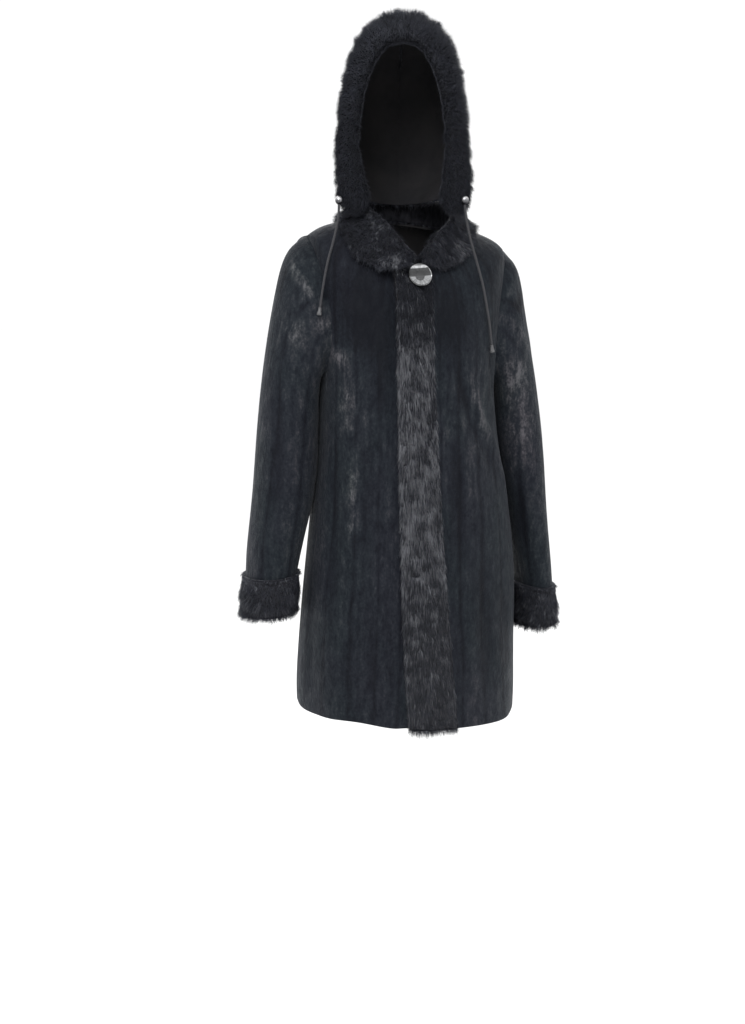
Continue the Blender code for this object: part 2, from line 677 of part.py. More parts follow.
def make_hood_rim():
    """The gathered rim: a soft roll along the face edge, pinched into puffs by the drawcord."""
    stations = RIM_PUFFS * 4 + 1
    half = hood_arch(0, 400, HOOD_WALL / 2)
    half = np.concatenate([[[half[0, 0], half[0, 1], RIM_FOOT_Z]], half])
    loop = evenly(np.concatenate([half * [-1, 1, 1], half[-2::-1]]), stations)
    share = np.linspace(0, 1, stations)
    row = read(RIM, RIM_COLUMNS, 1 - np.abs(2 * share - 1))
    direction = unit(np.gradient(loop, axis=0))
    sideways = np.stack([-direction[:, 2], 0 * share, direction[:, 0]], 1)
    sideways *= np.sign((sideways * (loop - np.array([0, 0, 0.20]))).sum(1))[:, None]
    loop -= sideways * row["inwards"][:, None]
    loop[:, 0] += RIM_LEAN * (1 - ramp(loop[:, 2], RIM_FOOT_Z, RIM_LEAN_TOP))
    loop[:, 1] = HOOD_CORNER_Y - SEAM - RIM_DEPTH
    wander = share + 0.006 * np.sin(6 * pi * share) + 0.004 * np.sin(14 * pi * share + 1)
    puff = 1 - RIM_PUFF_DEPTH * (1 - np.abs(np.sin(pi * RIM_PUFFS * wander)) ** 0.7)
    ends = np.minimum(share, 1 - share) * (stations - 1)
    close = np.sqrt(np.clip(0.30 + 0.70 * ends / 4.0, 0, 1))
    turn = np.linspace(0, 2 * pi, 10, endpoint=False)
    wide = power(np.cos(turn), 0.85) * (row["half_width"] * puff * close)[:, None]
    deep = power(np.sin(turn), 0.85) * (RIM_DEPTH * (0.5 + 0.5 * puff) * close)[:, None]
    sections = (
        loop[:, None, :] + sideways[:, None, :] * wide[..., None] + np.array([0, 1, 0]) * deep[..., None]
    )
    bar("hood_rim", turned(sections), LONG_BLACK)


# ---- collar ------------------------------------------------------------------------------------
def collar_path(turn, shrink):
    """The middle line of the collar's wall at a turn: up the stand, over and down the fall."""
    row = {name: float(value) for name, value in read(COLLAR, COLLAR_COLUMNS, np.degrees(turn)).items()}
    wall = row["wall"]
    neck = body(turn, NECK)
    away = unit((body(turn, NECK, 0.02) - neck) * np.array([1, 1, 0]))
    up = np.array([0.0, 0.0, 1.0])
    foot = neck - away * COLLAR_FOOT * 0.6 + up * 0.0012
    top = foot + up * row["stand"] * shrink
    bend = wall / 2 + COLLAR_GAP / 2
    rollover = [
        top + away * bend * (1 - cos(angle)) + up * bend * sin(angle)
        for angle in np.linspace(0, pi * 0.8, 5)
    ]
    fall = []
    for share in (0.5, 0.75, 1.0):
        along = NECK - row["fall_along"] * shrink * share
        rise = wall / 2 + 0.0015 + BAND_RISE * band_cover(turn, along)
        fall.append(body(turn, along, rise * (1.25 - 0.25 * share)))
    line = np.array([foot, *rollover, *fall])
    line[5:8] = 0.5 * line[5:8] + 0.25 * (line[4:7] + line[6:9])
    return line, wall


def band_cover(turn, along):
    """How much of the band's rise lies under the collar there."""
    turn = (turn + pi) % (2 * pi) - pi
    edge, seam = front_line(BAND_EDGE, along), front_line(BAND_SEAM, along)
    near = ramp(turn, edge - 0.25, edge - 0.05) * (1 - ramp(turn, seam + 0.05, seam + 0.25))
    return near * band_fullness(along)


def make_collar():
    turns = np.radians(np.linspace(COLLAR[-1][0], COLLAR[0][0], COLLAR_STATIONS))
    sections = []
    for turn in turns:
        near = min(abs(turn - turns[0]), abs(turn - turns[-1])) / radians(COLLAR_ROUND)
        shrink = 0.55 + 0.45 * (1 - (1 - min(near, 1.0)) ** 2) ** 0.5
        line, wall = collar_path(turn, shrink)
        direction = unit(np.gradient(line, axis=0))
        round_axis = np.cross(line[1] - line[0], line[4] - line[1])
        side = unit(np.cross(direction, round_axis))
        thick = np.array([COLLAR_FOOT / wall, 0.9, 1, 1, 1, 1, 1, 0.95, 0.55]) * wall / 2
        thick[1:] *= 0.7 + 0.3 * min(near, 1.0)
        over, under = line + side * thick[:, None], line - side * thick[:, None]
        sections.append(np.concatenate([over, under[[8, 7, 6, 5, 3, 1, 0]]]))
    bar("collar", posed(np.array(sections)), LONG_BLACK)


# ---- button, beads and drawcords ---------------------------------------------------------------
def turned_piece(name, profile, place, axis, spec, sides=32):
    """A turned piece: its profile of (radius, height) runs from the axis at its foot to the axis at
    its top, and its own axis is laid along the one given."""
    points, faces = [], []
    for radius, height in profile[1:-1]:
        for k in range(sides):
            angle = 2 * pi * k / sides
            points.append((radius * cos(angle), radius * sin(angle), height))
    rings = len(profile) - 2
    points += [(0, 0, profile[0][1]), (0, 0, profile[-1][1])]
    for i in range(rings - 1):
        for k in range(sides):
            after = (k + 1) % sides
            faces.append(
                [i * sides + k, i * sides + after, (i + 1) * sides + after, (i + 1) * sides + k]
            )
    foot, top = rings * sides, rings * sides + 1
    for k in range(sides):
        after = (k + 1) % sides
        faces.append([foot, after, k])
        faces.append([top, (rings - 1) * sides + k, (rings - 1) * sides + after])
    piece = new_piece(name, points, faces, spec)
    piece.rotation_mode = "QUATERNION"
    piece.rotation_quaternion = Vector(axis).to_track_quat("Z", "Y")
    piece.location = place
    return piece


def make_button():
    turn = turn_at(BUTTON_X, BUTTON_ALONG)
    base = posed(body(turn, BUTTON_ALONG, BAND_RISE + SEAM))
    axis = unit(posed(body(turn, BUTTON_ALONG, 0.03)) - posed(body(turn, BUTTON_ALONG, 0.0)))
    r = BUTTON_RADIUS
    profile = (
        (0, 0.0), (0.26 * r, 0.0), (0.26 * r, 0.0035), (0.80 * r, 0.0036), (0.96 * r, 0.0044),
        (r, 0.0058), (0.985 * r, 0.0068), (0.94 * r, 0.0074), (0.88 * r, 0.0070), (0.84 * r, 0.0062),
        (0.60 * r, 0.0056), (0.36 * r, 0.0054), (0.33 * r, 0.0060), (0.18 * r, 0.0063), (0, 0.0064),
    )
    turned_piece("button", profile, base, axis, POLISHED)


def make_bead(side):
    name = "left" if side > 0 else "right"
    place = turned(np.array(BEAD_AT) * [side, 1, 1])
    bpy.ops.mesh.primitive_uv_sphere_add(segments=16, ring_count=10, radius=BEAD_RADIUS, location=place)
    bead = bpy.context.object
    bead.name = bead.data.name = f"bead_{name}"
    bead.data.shade_smooth()
    bead.data.materials.append(finish(SATIN_SILVER))
    for old in bead.users_collection:
        old.objects.unlink(bead)
    bpy.data.collections[COLLECTION].objects.link(bead)


def smooth_route(route, count):
    """The route's own points, read through a smooth curve."""
    route = np.array(route, float)
    reach = np.concatenate([[0], np.cumsum(np.linalg.norm(np.diff(route, axis=0), axis=1))])
    fine = np.linspace(0, reach[-1], 400)
    line = np.stack([smooth(fine, reach, route[:, axis]) for axis in range(3)], 1)
    return evenly(line, count)


def make_drawcord(side, route):
    name = "left" if side > 0 else "right"
    length = float(np.linalg.norm(np.diff(np.array(route), axis=0), axis=1).sum())
    line = smooth_route(route, int(length / (CORD_RADIUS * 5)) + 1)
    curve = bpy.data.curves.new(f"drawcord_{name}", "CURVE")
    curve.dimensions = "3D"
    curve.bevel_depth = CORD_RADIUS
    curve.bevel_resolution = 2
    curve.use_fill_caps = True
    spline = curve.splines.new("POLY")
    spline.points.add(len(line) - 1)
    for point, place in zip(spline.points, line):
        point.co = (*place, 1)
    curve.materials.append(finish(GREY_CORD))
    cord = bpy.data.objects.new(f"drawcord_{name}", curve)
    bpy.data.collections[COLLECTION].objects.link(cord)

    down = unit(line[-1] - line[-2])
    t, length = TIP_RADIUS, TIP_LENGTH
    profile = (
        (0, 0.0), (0.62 * t, 0.0), (0.66 * t, 0.15 * length), (0.60 * t, 0.30 * length),
        (0.78 * t, 0.55 * length), (0.98 * t, 0.80 * length), (t, 0.92 * length),
        (0.90 * t, length), (0, length),
    )
    turned_piece(f"cord_tip_{name}", profile, line[-1] + down * SEAM, down, GREY_CORD, 16)


def main():
    for old in list(bpy.data.objects):
        bpy.data.objects.remove(old, do_unlink=True)
    bpy.context.scene.collection.children.link(bpy.data.collections.new(COLLECTION))
    make_body()
    for side in (-1, 1):
        make_sleeve(side)
        make_hood(side)
        make_bead(side)
    make_hood_rim()
    make_collar()
    make_button()
    make_drawcord(-1, CORD_RIGHT)
    make_drawcord(1, CORD_LEFT)


main()
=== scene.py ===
"""A hooded mink coat, dressed for looks: sheared fronts, back and sleeves with their let-out strips,
and long guard hair on the front band, collar, turn-back cuffs, hood and gathered hood rim.

Metres, +Z up, the coat faces -Y and the wearer's left is +X."""

from math import pi, radians

import bmesh
import bpy
import numpy as np
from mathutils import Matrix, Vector, kdtree
from mathutils.bvhtree import BVHTree


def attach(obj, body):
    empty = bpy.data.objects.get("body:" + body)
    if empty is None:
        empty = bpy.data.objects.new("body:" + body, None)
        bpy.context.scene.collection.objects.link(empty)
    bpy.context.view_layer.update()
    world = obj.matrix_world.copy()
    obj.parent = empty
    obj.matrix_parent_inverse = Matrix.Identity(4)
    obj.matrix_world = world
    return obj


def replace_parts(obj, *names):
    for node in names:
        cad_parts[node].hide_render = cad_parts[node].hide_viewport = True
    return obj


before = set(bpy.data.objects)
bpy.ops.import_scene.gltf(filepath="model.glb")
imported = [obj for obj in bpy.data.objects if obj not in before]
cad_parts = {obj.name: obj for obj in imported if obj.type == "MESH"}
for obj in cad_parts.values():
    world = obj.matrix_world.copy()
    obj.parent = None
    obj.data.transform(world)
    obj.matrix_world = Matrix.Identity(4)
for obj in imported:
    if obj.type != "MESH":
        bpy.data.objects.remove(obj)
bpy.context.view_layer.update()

# ---- the photograph's view and its studio ----
CAMERA_PLACE = (-0.3622, -1.3093, -0.0832)
CAMERA_PITCH, CAMERA_TURN = radians(75), radians(-13)
LENS_MM, SENSOR_MM = 25.98, 36.0
FLOOR_Z, FLOOR_RADIUS = -1.56, 90.0
FLOOR_TONES = ((0.3, (0.93, 0.93, 0.93)), (0.7, (0.955, 0.955, 0.955)))
DAYLIGHT = 1.08
LIGHTS = (  # name, place, what it aims at, width and height, watts
    ("key", (-1.1, -2.0, 1.5), (0.0, 0.0, -0.3), (1.4, 1.4), 48),
    ("fill", (1.7, -1.6, 0.4), (0.0, 0.0, -0.3), (1.2, 1.8), 3),
    ("rim", (0.6, 1.9, 1.3), (0.0, 0.0, -0.2), (1.6, 1.2), 30),
)

# ---- the coat's form ----
BODY_AXIS = np.array([0.004, 0.0, 0.0])  # the middle of the body's tube
BODY_FLATNESS = 1.35  # how much wider than deep the tube is
BODY_ROUND = 0.185  # metres round the body for a turn of one radian
BACK_Y = 0.02  # the back lies behind this
SLEEVE_AXIS = (np.array([0.188, 0.0, -0.08]), np.array([0.262, -0.012, -0.64]))  # the wearer's left one
SLEEVE_ROUND = 0.066
SLEEVE_CAP = (-0.14, -0.04)  # heights between which a sleeve turns into its cap
HOOD_MIDDLE = (-0.012, 0.02, 0.205)
HEM_Z = -0.846
BAND_X, BAND_SLANT = -0.021, 0.060  # its middle line, and how that leans over towards the hem
BAND_HALF_WIDTH = 0.045

# ---- the cut ----
SEWN_TO = {  # the pieces that a shell's seams close up to
    "front_right": ("back", "sleeve_right"),
    "front_left": ("back", "sleeve_left"),
    "back": ("front_left", "front_right", "sleeve_left", "sleeve_right"),
    "sleeve_right": ("front_right", "back"),
    "sleeve_left": ("front_left", "back"),
    "collar": ("hood_left", "hood_right"),
    "hood_right": ("hood_left", "hood_rim", "collar"),
    "hood_left": ("hood_right", "hood_rim", "collar"),
    "hood_rim": ("hood_left", "hood_right"),
}
SEAM_GAP, FUR_SEAM_GAP = 0.0008, 0.004  # seams up to this wide close up, in sheared and in long fur
SEAM_OVERLAP = 0.00015
UNDERFUR = {  # how far the underfur lies below the solid, and how often its squares are halved
    "front_band": (0.0050, 2),
    "collar": (0.0030, 1),
    "cuff_right": (0.0045, 2),
    "cuff_left": (0.0045, 2),
    "hood_right": (0.0035, 1),
    "hood_left": (0.0035, 1),
    "hood_rim": (0.0030, 1),
}
UNDERFUR_WAVES, UNDERFUR_WAVE_SIZE = 0.3, 0.022  # as a share of that depth, and in metres
# How far a normal is turned outwards, as a cosine, over which the outer side begins, and below which a
# face is on the leather side.
OUTER_SIDE, LEATHER_SIDE = (-0.15, 0.35), -0.25
FACING_DOWN, SEAM_FREE = (-0.75, -0.30), (0.15, 1.0)  # the underfur isn't lowered below these
SHARP_ANGLE, SHARP_METAL = radians(50), radians(35)
SQUARE_ANGLE, MERGE_GAP = radians(70), 1e-5

# ---- cords and hard pieces ----
CORD_DIAMETER = 0.004
CORD_RINGS, ROUTE_STEPS = 32, 400
CORD_RIGHT = (
    (-0.1307, -0.0696, 0.0843),
    (-0.1318, -0.0716, 0.0700),
    (-0.1360, -0.0742, 0.0500),
    (-0.1430, -0.0770, 0.0250),
    (-0.1510, -0.0785, 0.0000),
    (-0.1568, -0.0785, -0.0250),
    (-0.1615, -0.0790, -0.0500),
    (-0.1655, -0.0805, -0.0730),
)
CORD_LEFT = (
    (0.0642, -0.1146, 0.0843),
    (0.0668, -0.1142, 0.0680),
    (0.0735, -0.1120, 0.0430),
    (0.0830, -0.1085, 0.0180),
    (0.0940, -0.1040, -0.0080),
    (0.1040, -0.1080, -0.0440),
    (0.1140, -0.1075, -0.0860),
    (0.1230, -0.1020, -0.1250),
    (0.1245, -0.1015, -0.1340),
)
YARN_TURNS = 55.0  # of the braid along a whole cord
YARNS_ROUND = 4.0
# The painted reflection that the dish of the button shows, as height up its face from 0 to 1 and how bright
# it is there.
BUTTON_PAINTED_REFLECTION = (
    (0.00, 0.24), (0.07, 0.60), (0.22, 0.46), (0.43, 0.56), (0.455, 0.13), (0.62, 0.10), (0.78, 0.14),
    (0.80, 0.85), (0.88, 0.88), (0.90, 0.30), (1.00, 0.20),
)
BUTTON_REFLECTED_MIDDLE = (-0.04, -0.10, 0.0)  # its dark middle, also painted reflection, in half widths of the button
BUTTON_METAL = (0.80, 0.81, 0.83)

# ---- sheared pieces ----
STRIP = 0.046  # width of a let-out strip of sheared fur
PILE_RISE = 0.0012
CREASE_SHADE = 18.0  # painted shade: how much a crease's depth in metres darkens it, and a ridge is lightened as painted highlight
# Painted shade: the body's pile darker towards the top of its chest.
CHEST_SHADE, CHEST_FADE = 0.05, (-0.34, -0.22)
# Which way a piece faces the other, and how much fuller its pile stands, where the wearer's right
# sleeve rests beside the body.
CLOSE_PILE = {"sleeve_right": (1, 0.0022), "back": (-1, 0.0015), "front_right": (-1, 0.0015)}
CLOSE_FROM, CLOSE_TO = (0.17, 0.23), (0.40, 0.47)  # metres down from the shoulders
CLOSE_SIDE = (0.55, 0.92)  # how squarely the two sides face each other, as a cosine
CREASE_DARK, CREASE_PALE = 0.0040, -0.0020  # depths past which a crease's painted shade and a ridge's painted highlight stay the same
CREASE_START, CREASE_END = (-0.02, 0.25), (0.7, 1.02)  # shares of its length over which it runs out

# Creases of the sheared cloth, as depth (less than 0 is a ridge), half width, and the line it follows in
# metres round the piece and down it. Down is a height less the distance from the piece's middle, so it
# goes on over the shoulders. The back's and the sleeves' hidden creases are like the front's.
BODY_CREASES = (
    (-0.0046, 0.0085, (0.098, -0.300), (0.112, -0.345), (0.137, -0.410), (0.172, -0.455), (0.205, -0.530),
     (0.224, -0.660)),
    (0.0040, 0.0100, (0.074, -0.300), (0.088, -0.350), (0.114, -0.420), (0.150, -0.475), (0.178, -0.560)),
    (0.0026, 0.0090, (0.156, -0.290), (0.182, -0.340), (0.204, -0.390)),
    (0.0024, 0.0120, (-0.199, -0.440), (-0.197, -0.530), (-0.190, -0.700), (-0.186, -0.820)),
    (-0.0020, 0.0120, (-0.165, -0.460), (-0.150, -0.560), (-0.152, -0.660)),
    (0.0026, 0.0115, (-0.136, -0.420), (-0.129, -0.550), (-0.120, -0.740), (-0.108, -0.950)),
    (0.0017, 0.0100, (-0.092, -0.660), (-0.080, -0.800), (-0.064, -0.960)),
    (0.0021, 0.0120, (-0.242, -0.720), (-0.235, -0.850), (-0.225, -1.000)),
    (0.0022, 0.0120, (0.070, -0.430), (0.074, -0.550), (0.078, -0.680)),
    (0.0025, 0.0130, (0.120, -0.660), (0.128, -0.800), (0.140, -0.960)),
    (-0.0020, 0.0120, (0.092, -0.720), (0.100, -0.860), (0.108, -0.980)),
    (0.0020, 0.0120, (0.168, -0.740), (0.180, -0.860), (0.190, -0.990)),
    (0.0032, 0.0120, (0.500, -0.360), (0.490, -0.500), (0.470, -0.660)),
    (0.0024, 0.0140, (0.400, -0.330), (0.390, -0.470), (0.360, -0.700), (0.345, -0.900)),
    (0.0027, 0.0130, (0.585, -0.550), (0.575, -0.750), (0.570, -0.980)),
    (0.0031, 0.0120, (0.660, -0.380), (0.680, -0.520), (0.690, -0.640)),
    (0.0022, 0.0140, (0.750, -0.330), (0.770, -0.500), (0.790, -0.720), (0.800, -0.920)),
    (-0.0024, 0.0130, (0.450, -0.620), (0.430, -0.800), (0.420, -0.980)),
    (-0.0022, 0.0130, (0.700, -0.600), (0.715, -0.800), (0.720, -0.990)),
    (0.0032, 0.0100, (0.360, -0.230), (0.420, -0.270), (0.475, -0.300)),
    (0.0027, 0.0100, (0.800, -0.240), (0.740, -0.275), (0.680, -0.300)),
    (0.0018, 0.0100, (0.520, -0.200), (0.580, -0.215), (0.630, -0.200)),
)
SLEEVE_CREASES = (
    (0.0030, 0.0100, (-0.030, -0.500), (-0.090, -0.540), (-0.140, -0.530)),
    (0.0024, 0.0090, (-0.050, -0.560), (-0.100, -0.585), (-0.150, -0.575)),
    (-0.0018, 0.0100, (-0.020, -0.450), (-0.080, -0.475), (-0.130, -0.460)),
    (0.0021, 0.0120, (-0.100, -0.270), (-0.110, -0.380)),
    (0.0018, 0.0120, (-0.080, -0.640), (-0.090, -0.780)),
    (0.0013, 0.0080, (0.005, -0.575), (0.040, -0.585), (0.065, -0.578)),
    (0.0015, 0.0080, (0.020, -0.632), (0.060, -0.640)),
    (0.0012, 0.0080, (-0.010, -0.668), (0.030, -0.674), (0.052, -0.668)),
    (0.0016, 0.0085, (0.012, -0.722), (0.058, -0.715)),
    (0.0012, 0.0080, (0.000, -0.768), (0.045, -0.776)),
)
RIGHT_SLEEVE_CREASES = SLEEVE_CREASES + (
    (0.0022, 0.0095, (0.072, -0.420), (0.079, -0.510), (0.083, -0.610), (0.085, -0.720)),
    (-0.0022, 0.0085, (0.021, -0.202), (0.044, -0.210), (0.070, -0.232), (0.088, -0.248)),
    (0.0021, 0.0085, (0.004, -0.218), (0.030, -0.230), (0.062, -0.256)),
    (0.0018, 0.0080, (0.112, -0.290), (0.124, -0.350)),
    (-0.0016, 0.0080, (0.128, -0.295), (0.142, -0.350)),
)
LEFT_SLEEVE_CREASES = SLEEVE_CREASES + (
    (0.0024, 0.0095, (0.106, -0.250), (0.114, -0.300), (0.104, -0.350)),
    (-0.0018, 0.0090, (0.126, -0.300), (0.118, -0.370), (0.128, -0.430)),
    (0.0021, 0.0120, (0.128, -0.550), (0.132, -0.660), (0.126, -0.760)),
    (0.0020, 0.0085, (0.030, -0.215), (0.055, -0.245), (0.090, -0.262)),
)
# Painted sheen and shade, where the brushed pile shows paler or darker: metres round and down, half width,
# half height, its lean in degrees, and how much paler.
BODY_SHEEN_AND_SHADE = (
    (-0.190, -0.315, 0.030, 0.018, 0, 0.11),
    (-0.172, -0.385, 0.020, 0.045, -8, 0.08),
    (-0.155, -0.540, 0.011, 0.075, 0, 0.07),
    (-0.118, -0.700, 0.020, 0.100, 0, 0.03),
    (-0.135, -0.240, 0.045, 0.075, 0, -0.10),
    (-0.095, -0.330, 0.022, 0.060, 0, -0.06),
    (-0.148, -0.625, 0.012, 0.014, 0, -0.09),
    (0.124, -0.215, 0.010, 0.045, 8, 0.08),
    (0.116, -0.350, 0.008, 0.055, 22, 0.05),
    (0.130, -0.430, 0.028, 0.050, 12, 0.03),
    (0.110, -0.640, 0.060, 0.140, 0, -0.035),
    (0.100, -0.850, 0.080, 0.120, 0, -0.045),
    (-0.150, -0.900, 0.080, 0.080, 0, -0.025),
    (0.021, -0.195, 0.007, 0.007, 0, 0.09),
    (0.052, -0.413, 0.009, 0.008, 0, 0.11),
    (0.166, -0.229, 0.008, 0.008, 0, 0.08),
    (0.055, -0.215, 0.045, 0.060, 0, -0.08),
    (0.086, -0.345, 0.008, 0.050, 20, -0.09),
    (0.068, -0.500, 0.014, 0.090, 0, -0.05),
    (0.470, -0.330, 0.050, 0.035, 20, 0.09),
    (0.700, -0.300, 0.050, 0.032, -20, 0.08),
    (0.580, -0.240, 0.090, 0.050, 0, -0.07),
    (0.400, -0.550, 0.030, 0.090, 0, 0.05),
    (0.660, -0.660, 0.030, 0.100, 0, 0.06),
    (0.520, -0.800, 0.030, 0.090, 0, -0.05),
    (0.780, -0.600, 0.025, 0.090, 0, -0.05),
    (0.340, -0.420, 0.020, 0.060, 0, 0.06),
)
SLEEVE_SHEEN_AND_SHADE = (
    (-0.080, -0.300, 0.030, 0.050, 20, 0.07),
    (-0.100, -0.550, 0.020, 0.100, 0, 0.05),
    (-0.050, -0.700, 0.020, 0.080, 0, -0.05),
)
RIGHT_SLEEVE_SHEEN_AND_SHADE = SLEEVE_SHEEN_AND_SHADE + (
    (0.050, -0.218, 0.036, 0.011, -31, 0.075),
    (0.085, -0.320, 0.030, 0.022, 0, 0.08),
    (0.120, -0.262, 0.022, 0.020, 0, 0.09),
    (0.034, -0.620, 0.016, 0.160, 0, 0.045),
    (0.093, -0.580, 0.012, 0.140, 0, -0.04),
    (0.005, -0.255, 0.022, 0.035, 0, -0.07),
    (0.080, -0.200, 0.020, 0.020, 0, -0.06),
)
LEFT_SLEEVE_SHEEN_AND_SHADE = SLEEVE_SHEEN_AND_SHADE + (
    (0.106, -0.300, 0.013, 0.050, 5, 0.08),
    (0.122, -0.370, 0.020, 0.030, 0, 0.08),
    (0.110, -0.345, 0.009, 0.009, 0, -0.12),
    (0.118, -0.470, 0.018, 0.090, 0, 0.08),
    (0.134, -0.670, 0.020, 0.080, 0, -0.05),
    (0.061, -0.219, 0.010, 0.016, 0, 0.09),
    (0.060, -0.255, 0.030, 0.030, 0, -0.08),
    (0.030, -0.200, 0.030, 0.020, 0, -0.06),
)

# ---- guard hair ----
# The grey and silver shades are partly painted highlight: pale strokes that stand in for the shine of the
# glossy hair, besides its own uneven tone.
HAIR_SHADES = (  # name, colour, roughness
    ("guard hair black", (0.0034, 0.0038, 0.0068), 0.42),
    ("guard hair dark", (0.0125, 0.0135, 0.0205), 0.38),
    ("guard hair grey sheen", (0.058, 0.061, 0.072), 0.36),
    ("guard hair silver sheen", (0.205, 0.210, 0.228), 0.34),
)
SHADE_LIMITS = (0.15, 0.75, 1.25)  # paleness at which the next shade begins
BAND_FUR, BAND_MIDDLE_SHEEN, BAND_EDGE_SHEEN, BAND_TOP_SHADE = -0.42, 1.15, 0.32, -0.35  # paleness of the band: its own tone, then painted sheen in its middle height and at its free edge, and painted shade at its top
BAND_LOW, BAND_TOP, BAND_EDGE = (-0.66, -0.44), (-0.15, -0.07), (-0.035, 0.030)  # heights, and across it, of that painted sheen and shade
HOOD_FUR, CUFF_FUR, COLLAR_FUR = -0.10, 0.12, 0.05  # paleness of the hood and its rim, cuffs and collar
HOOD_NAP = (0.05, 0.75, -0.75)  # back from the face and down to the neck
CUFF_NAP = (0.0, 0.0, -1.0)
WAVE_TONE, SPECK_TONE, HAIR_TONE = 0.45, 0.75, 0.35  # how uneven it is in waves, specks and single hairs
# Painted highlights on the collar's hair, paler wisps: their middle, half sizes and how much paler.
COLLAR_HIGHLIGHTS = (
    ((0.066, -0.092, 0.022), (0.020, 0.030, 0.016), 1.15),
    ((0.068, -0.030, 0.078), (0.018, 0.045, 0.014), 0.75),
    ((-0.048, -0.112, 0.002), (0.022, 0.030, 0.012), 0.95),
    ((-0.070, -0.085, 0.050), (0.012, 0.030, 0.022), 0.6),
    ((0.060, 0.090, 0.060), (0.030, 0.040, 0.020), 0.6),
    ((-0.040, 0.095, 0.030), (0.025, 0.040, 0.020), 0.7),
)
# The number of hairs, their length and width; lean is their rise from the surface in degrees, clump how
# far the tips of a tuft draw together, and tuft the hairs in one. Swing and lift are how much hairs
# turn and rise apart in degrees, each by itself and in waves. Speck is the size of pale specks, and
# their width as a share of their length. Contrast is how far the shades lie apart.
BAND_HAIR = dict(
    count=49000, length=0.0165, width=0.0006, lean=12, seed=12, clump=0.15, tuft=5, swing=(6, 3),
    lift=(4, 1.5), speck=(0.0022, 0.24), contrast=1.6,
)
COLLAR_HAIR = dict(
    count=40000, length=0.013, width=0.0007, lean=24, seed=21, clump=0.30, tuft=9, contrast=0.8
)
CUFF_HAIR = dict(count=14000, length=0.013, width=0.0009, lean=26, clump=0.30, tuft=9, contrast=0.8)
HOOD_HAIR = dict(count=18000, length=0.0115, width=0.0007, lean=22, clump=0.22, tuft=7, contrast=0.5)
RIM_HAIR = dict(count=44000, length=0.0118, width=0.0006, lean=42, seed=41, clump=0.28, tuft=7, contrast=0.5)
TURN_WAVE, RISE_WAVE, LENGTH_WAVE, TONE_WAVE = 0.020, 0.016, 0.03, 0.024  # sizes of the waves
UNEVEN_LENGTH, WAVY_LENGTH, LENGTH_LIMITS = 0.22, 0.15, (0.45, 1.5)  # shares of a hair's length
RISE_LIMITS = (6, 88)
FLAT_LENGTH = 0.4  # share of its length that a hair keeps where it lies quite flat
TIP_PULL = 0.75  # share of the gap between two roots that their tips close when they draw together
ROOT_DEPTH = 0.0006
HEM_FLAT, HEM_FADE = 0.08, 0.046  # how flat the hair is clipped at the hem, and up to what height
CUFF_FLAT, CUFF_FADE = 0.25, (0.004, 0.040)  # and below the cuff's turned edge
SPIKE_DEPTH, THICKNESS_LIMITS = 0.4, (0.75, 1.3)  # shares of a hair's width
CUFF_SEEDS = {"right": 31, "left": 34}
HOOD_SEEDS = {"right": 51, "left": 54}


# ---- small helpers ----
def unit(vectors):
    return vectors / np.maximum(np.linalg.norm(vectors, axis=-1, keepdims=True), 1e-12)


def ramp(value, low, high):
    """Rises smoothly from 0 at low to 1 at high."""
    share = np.clip((value - low) / (high - low), 0, 1)
    return share * share * (3 - 2 * share)


def between(value, rise, fall):
    """Rises from 0 to 1 over the first pair of limits and falls back over the second."""
    return ramp(value, *rise) * (1 - ramp(value, *fall))


def cloud(places, size, seed, waves=18):
    """A soft random value for each place, about -1 to 1, with patches of that size."""
    draw = np.random.default_rng(seed)
    ways = unit(draw.normal(size=(waves, 3))) * (2 * pi / size) * draw.uniform(0.6, 1.5, (waves, 1))
    return np.sin(places @ ways.T + draw.uniform(0, 2 * pi, waves)).sum(1) / (0.5 * waves) ** 0.5 / 1.6


def points_of(mesh):
    places = np.empty(len(mesh.vertices) * 3)
    mesh.vertices.foreach_get("co", places)
    return places.reshape(-1, 3)


def normals_of(mesh):
    normals = np.empty(len(mesh.vertices) * 3)
    mesh.vertices.foreach_get("normal", normals)
    return normals.reshape(-1, 3)


def move_points(mesh, places):
    mesh.vertices.foreach_set("co", np.asarray(places, float).ravel())
    mesh.update()


def store(mesh, name, values):
    """Keeps a number, or a place on the cloth, with each point."""
    if values.ndim == 1:
        mesh.attributes.new(name, "FLOAT", "POINT").data.foreach_set("value", values)
        return
    flat = np.concatenate([values, 0 * values[:, :1]], 1)
    mesh.attributes.new(name, "FLOAT_VECTOR", "POINT").data.foreach_set("vector", flat.ravel())


def select_only(piece):
    bpy.ops.object.select_all(action="DESELECT")
    piece.select_set(True)
    bpy.context.view_layer.objects.active = piece


def add_piece(name, data):
    piece = bpy.data.objects.new(name, data)
    bpy.context.scene.collection.objects.link(piece)
    return piece


def settle(piece):
    """The piece belongs to the coat's one body."""
    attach(piece, "root")
    return piece


# ---- camera, floor and light ----
def set_camera():
    camera = add_piece("camera", bpy.data.cameras.new("camera"))
    camera.location = CAMERA_PLACE
    camera.rotation_euler = (CAMERA_PITCH, 0.0, CAMERA_TURN)
    camera.data.sensor_width = SENSOR_MM
    camera.data.lens = LENS_MM
    bpy.context.scene.camera = camera


def soft_light(name, place, aim, size, power):
    lamp = bpy.data.lights.new(name, "AREA")
    lamp.shape = "RECTANGLE"
    lamp.size, lamp.size_y = size
    lamp.energy = power
    light = add_piece(name, lamp)
    light.location = place
    light.rotation_euler = (Vector(aim) - Vector(place)).to_track_quat("-Z", "Y").to_euler()


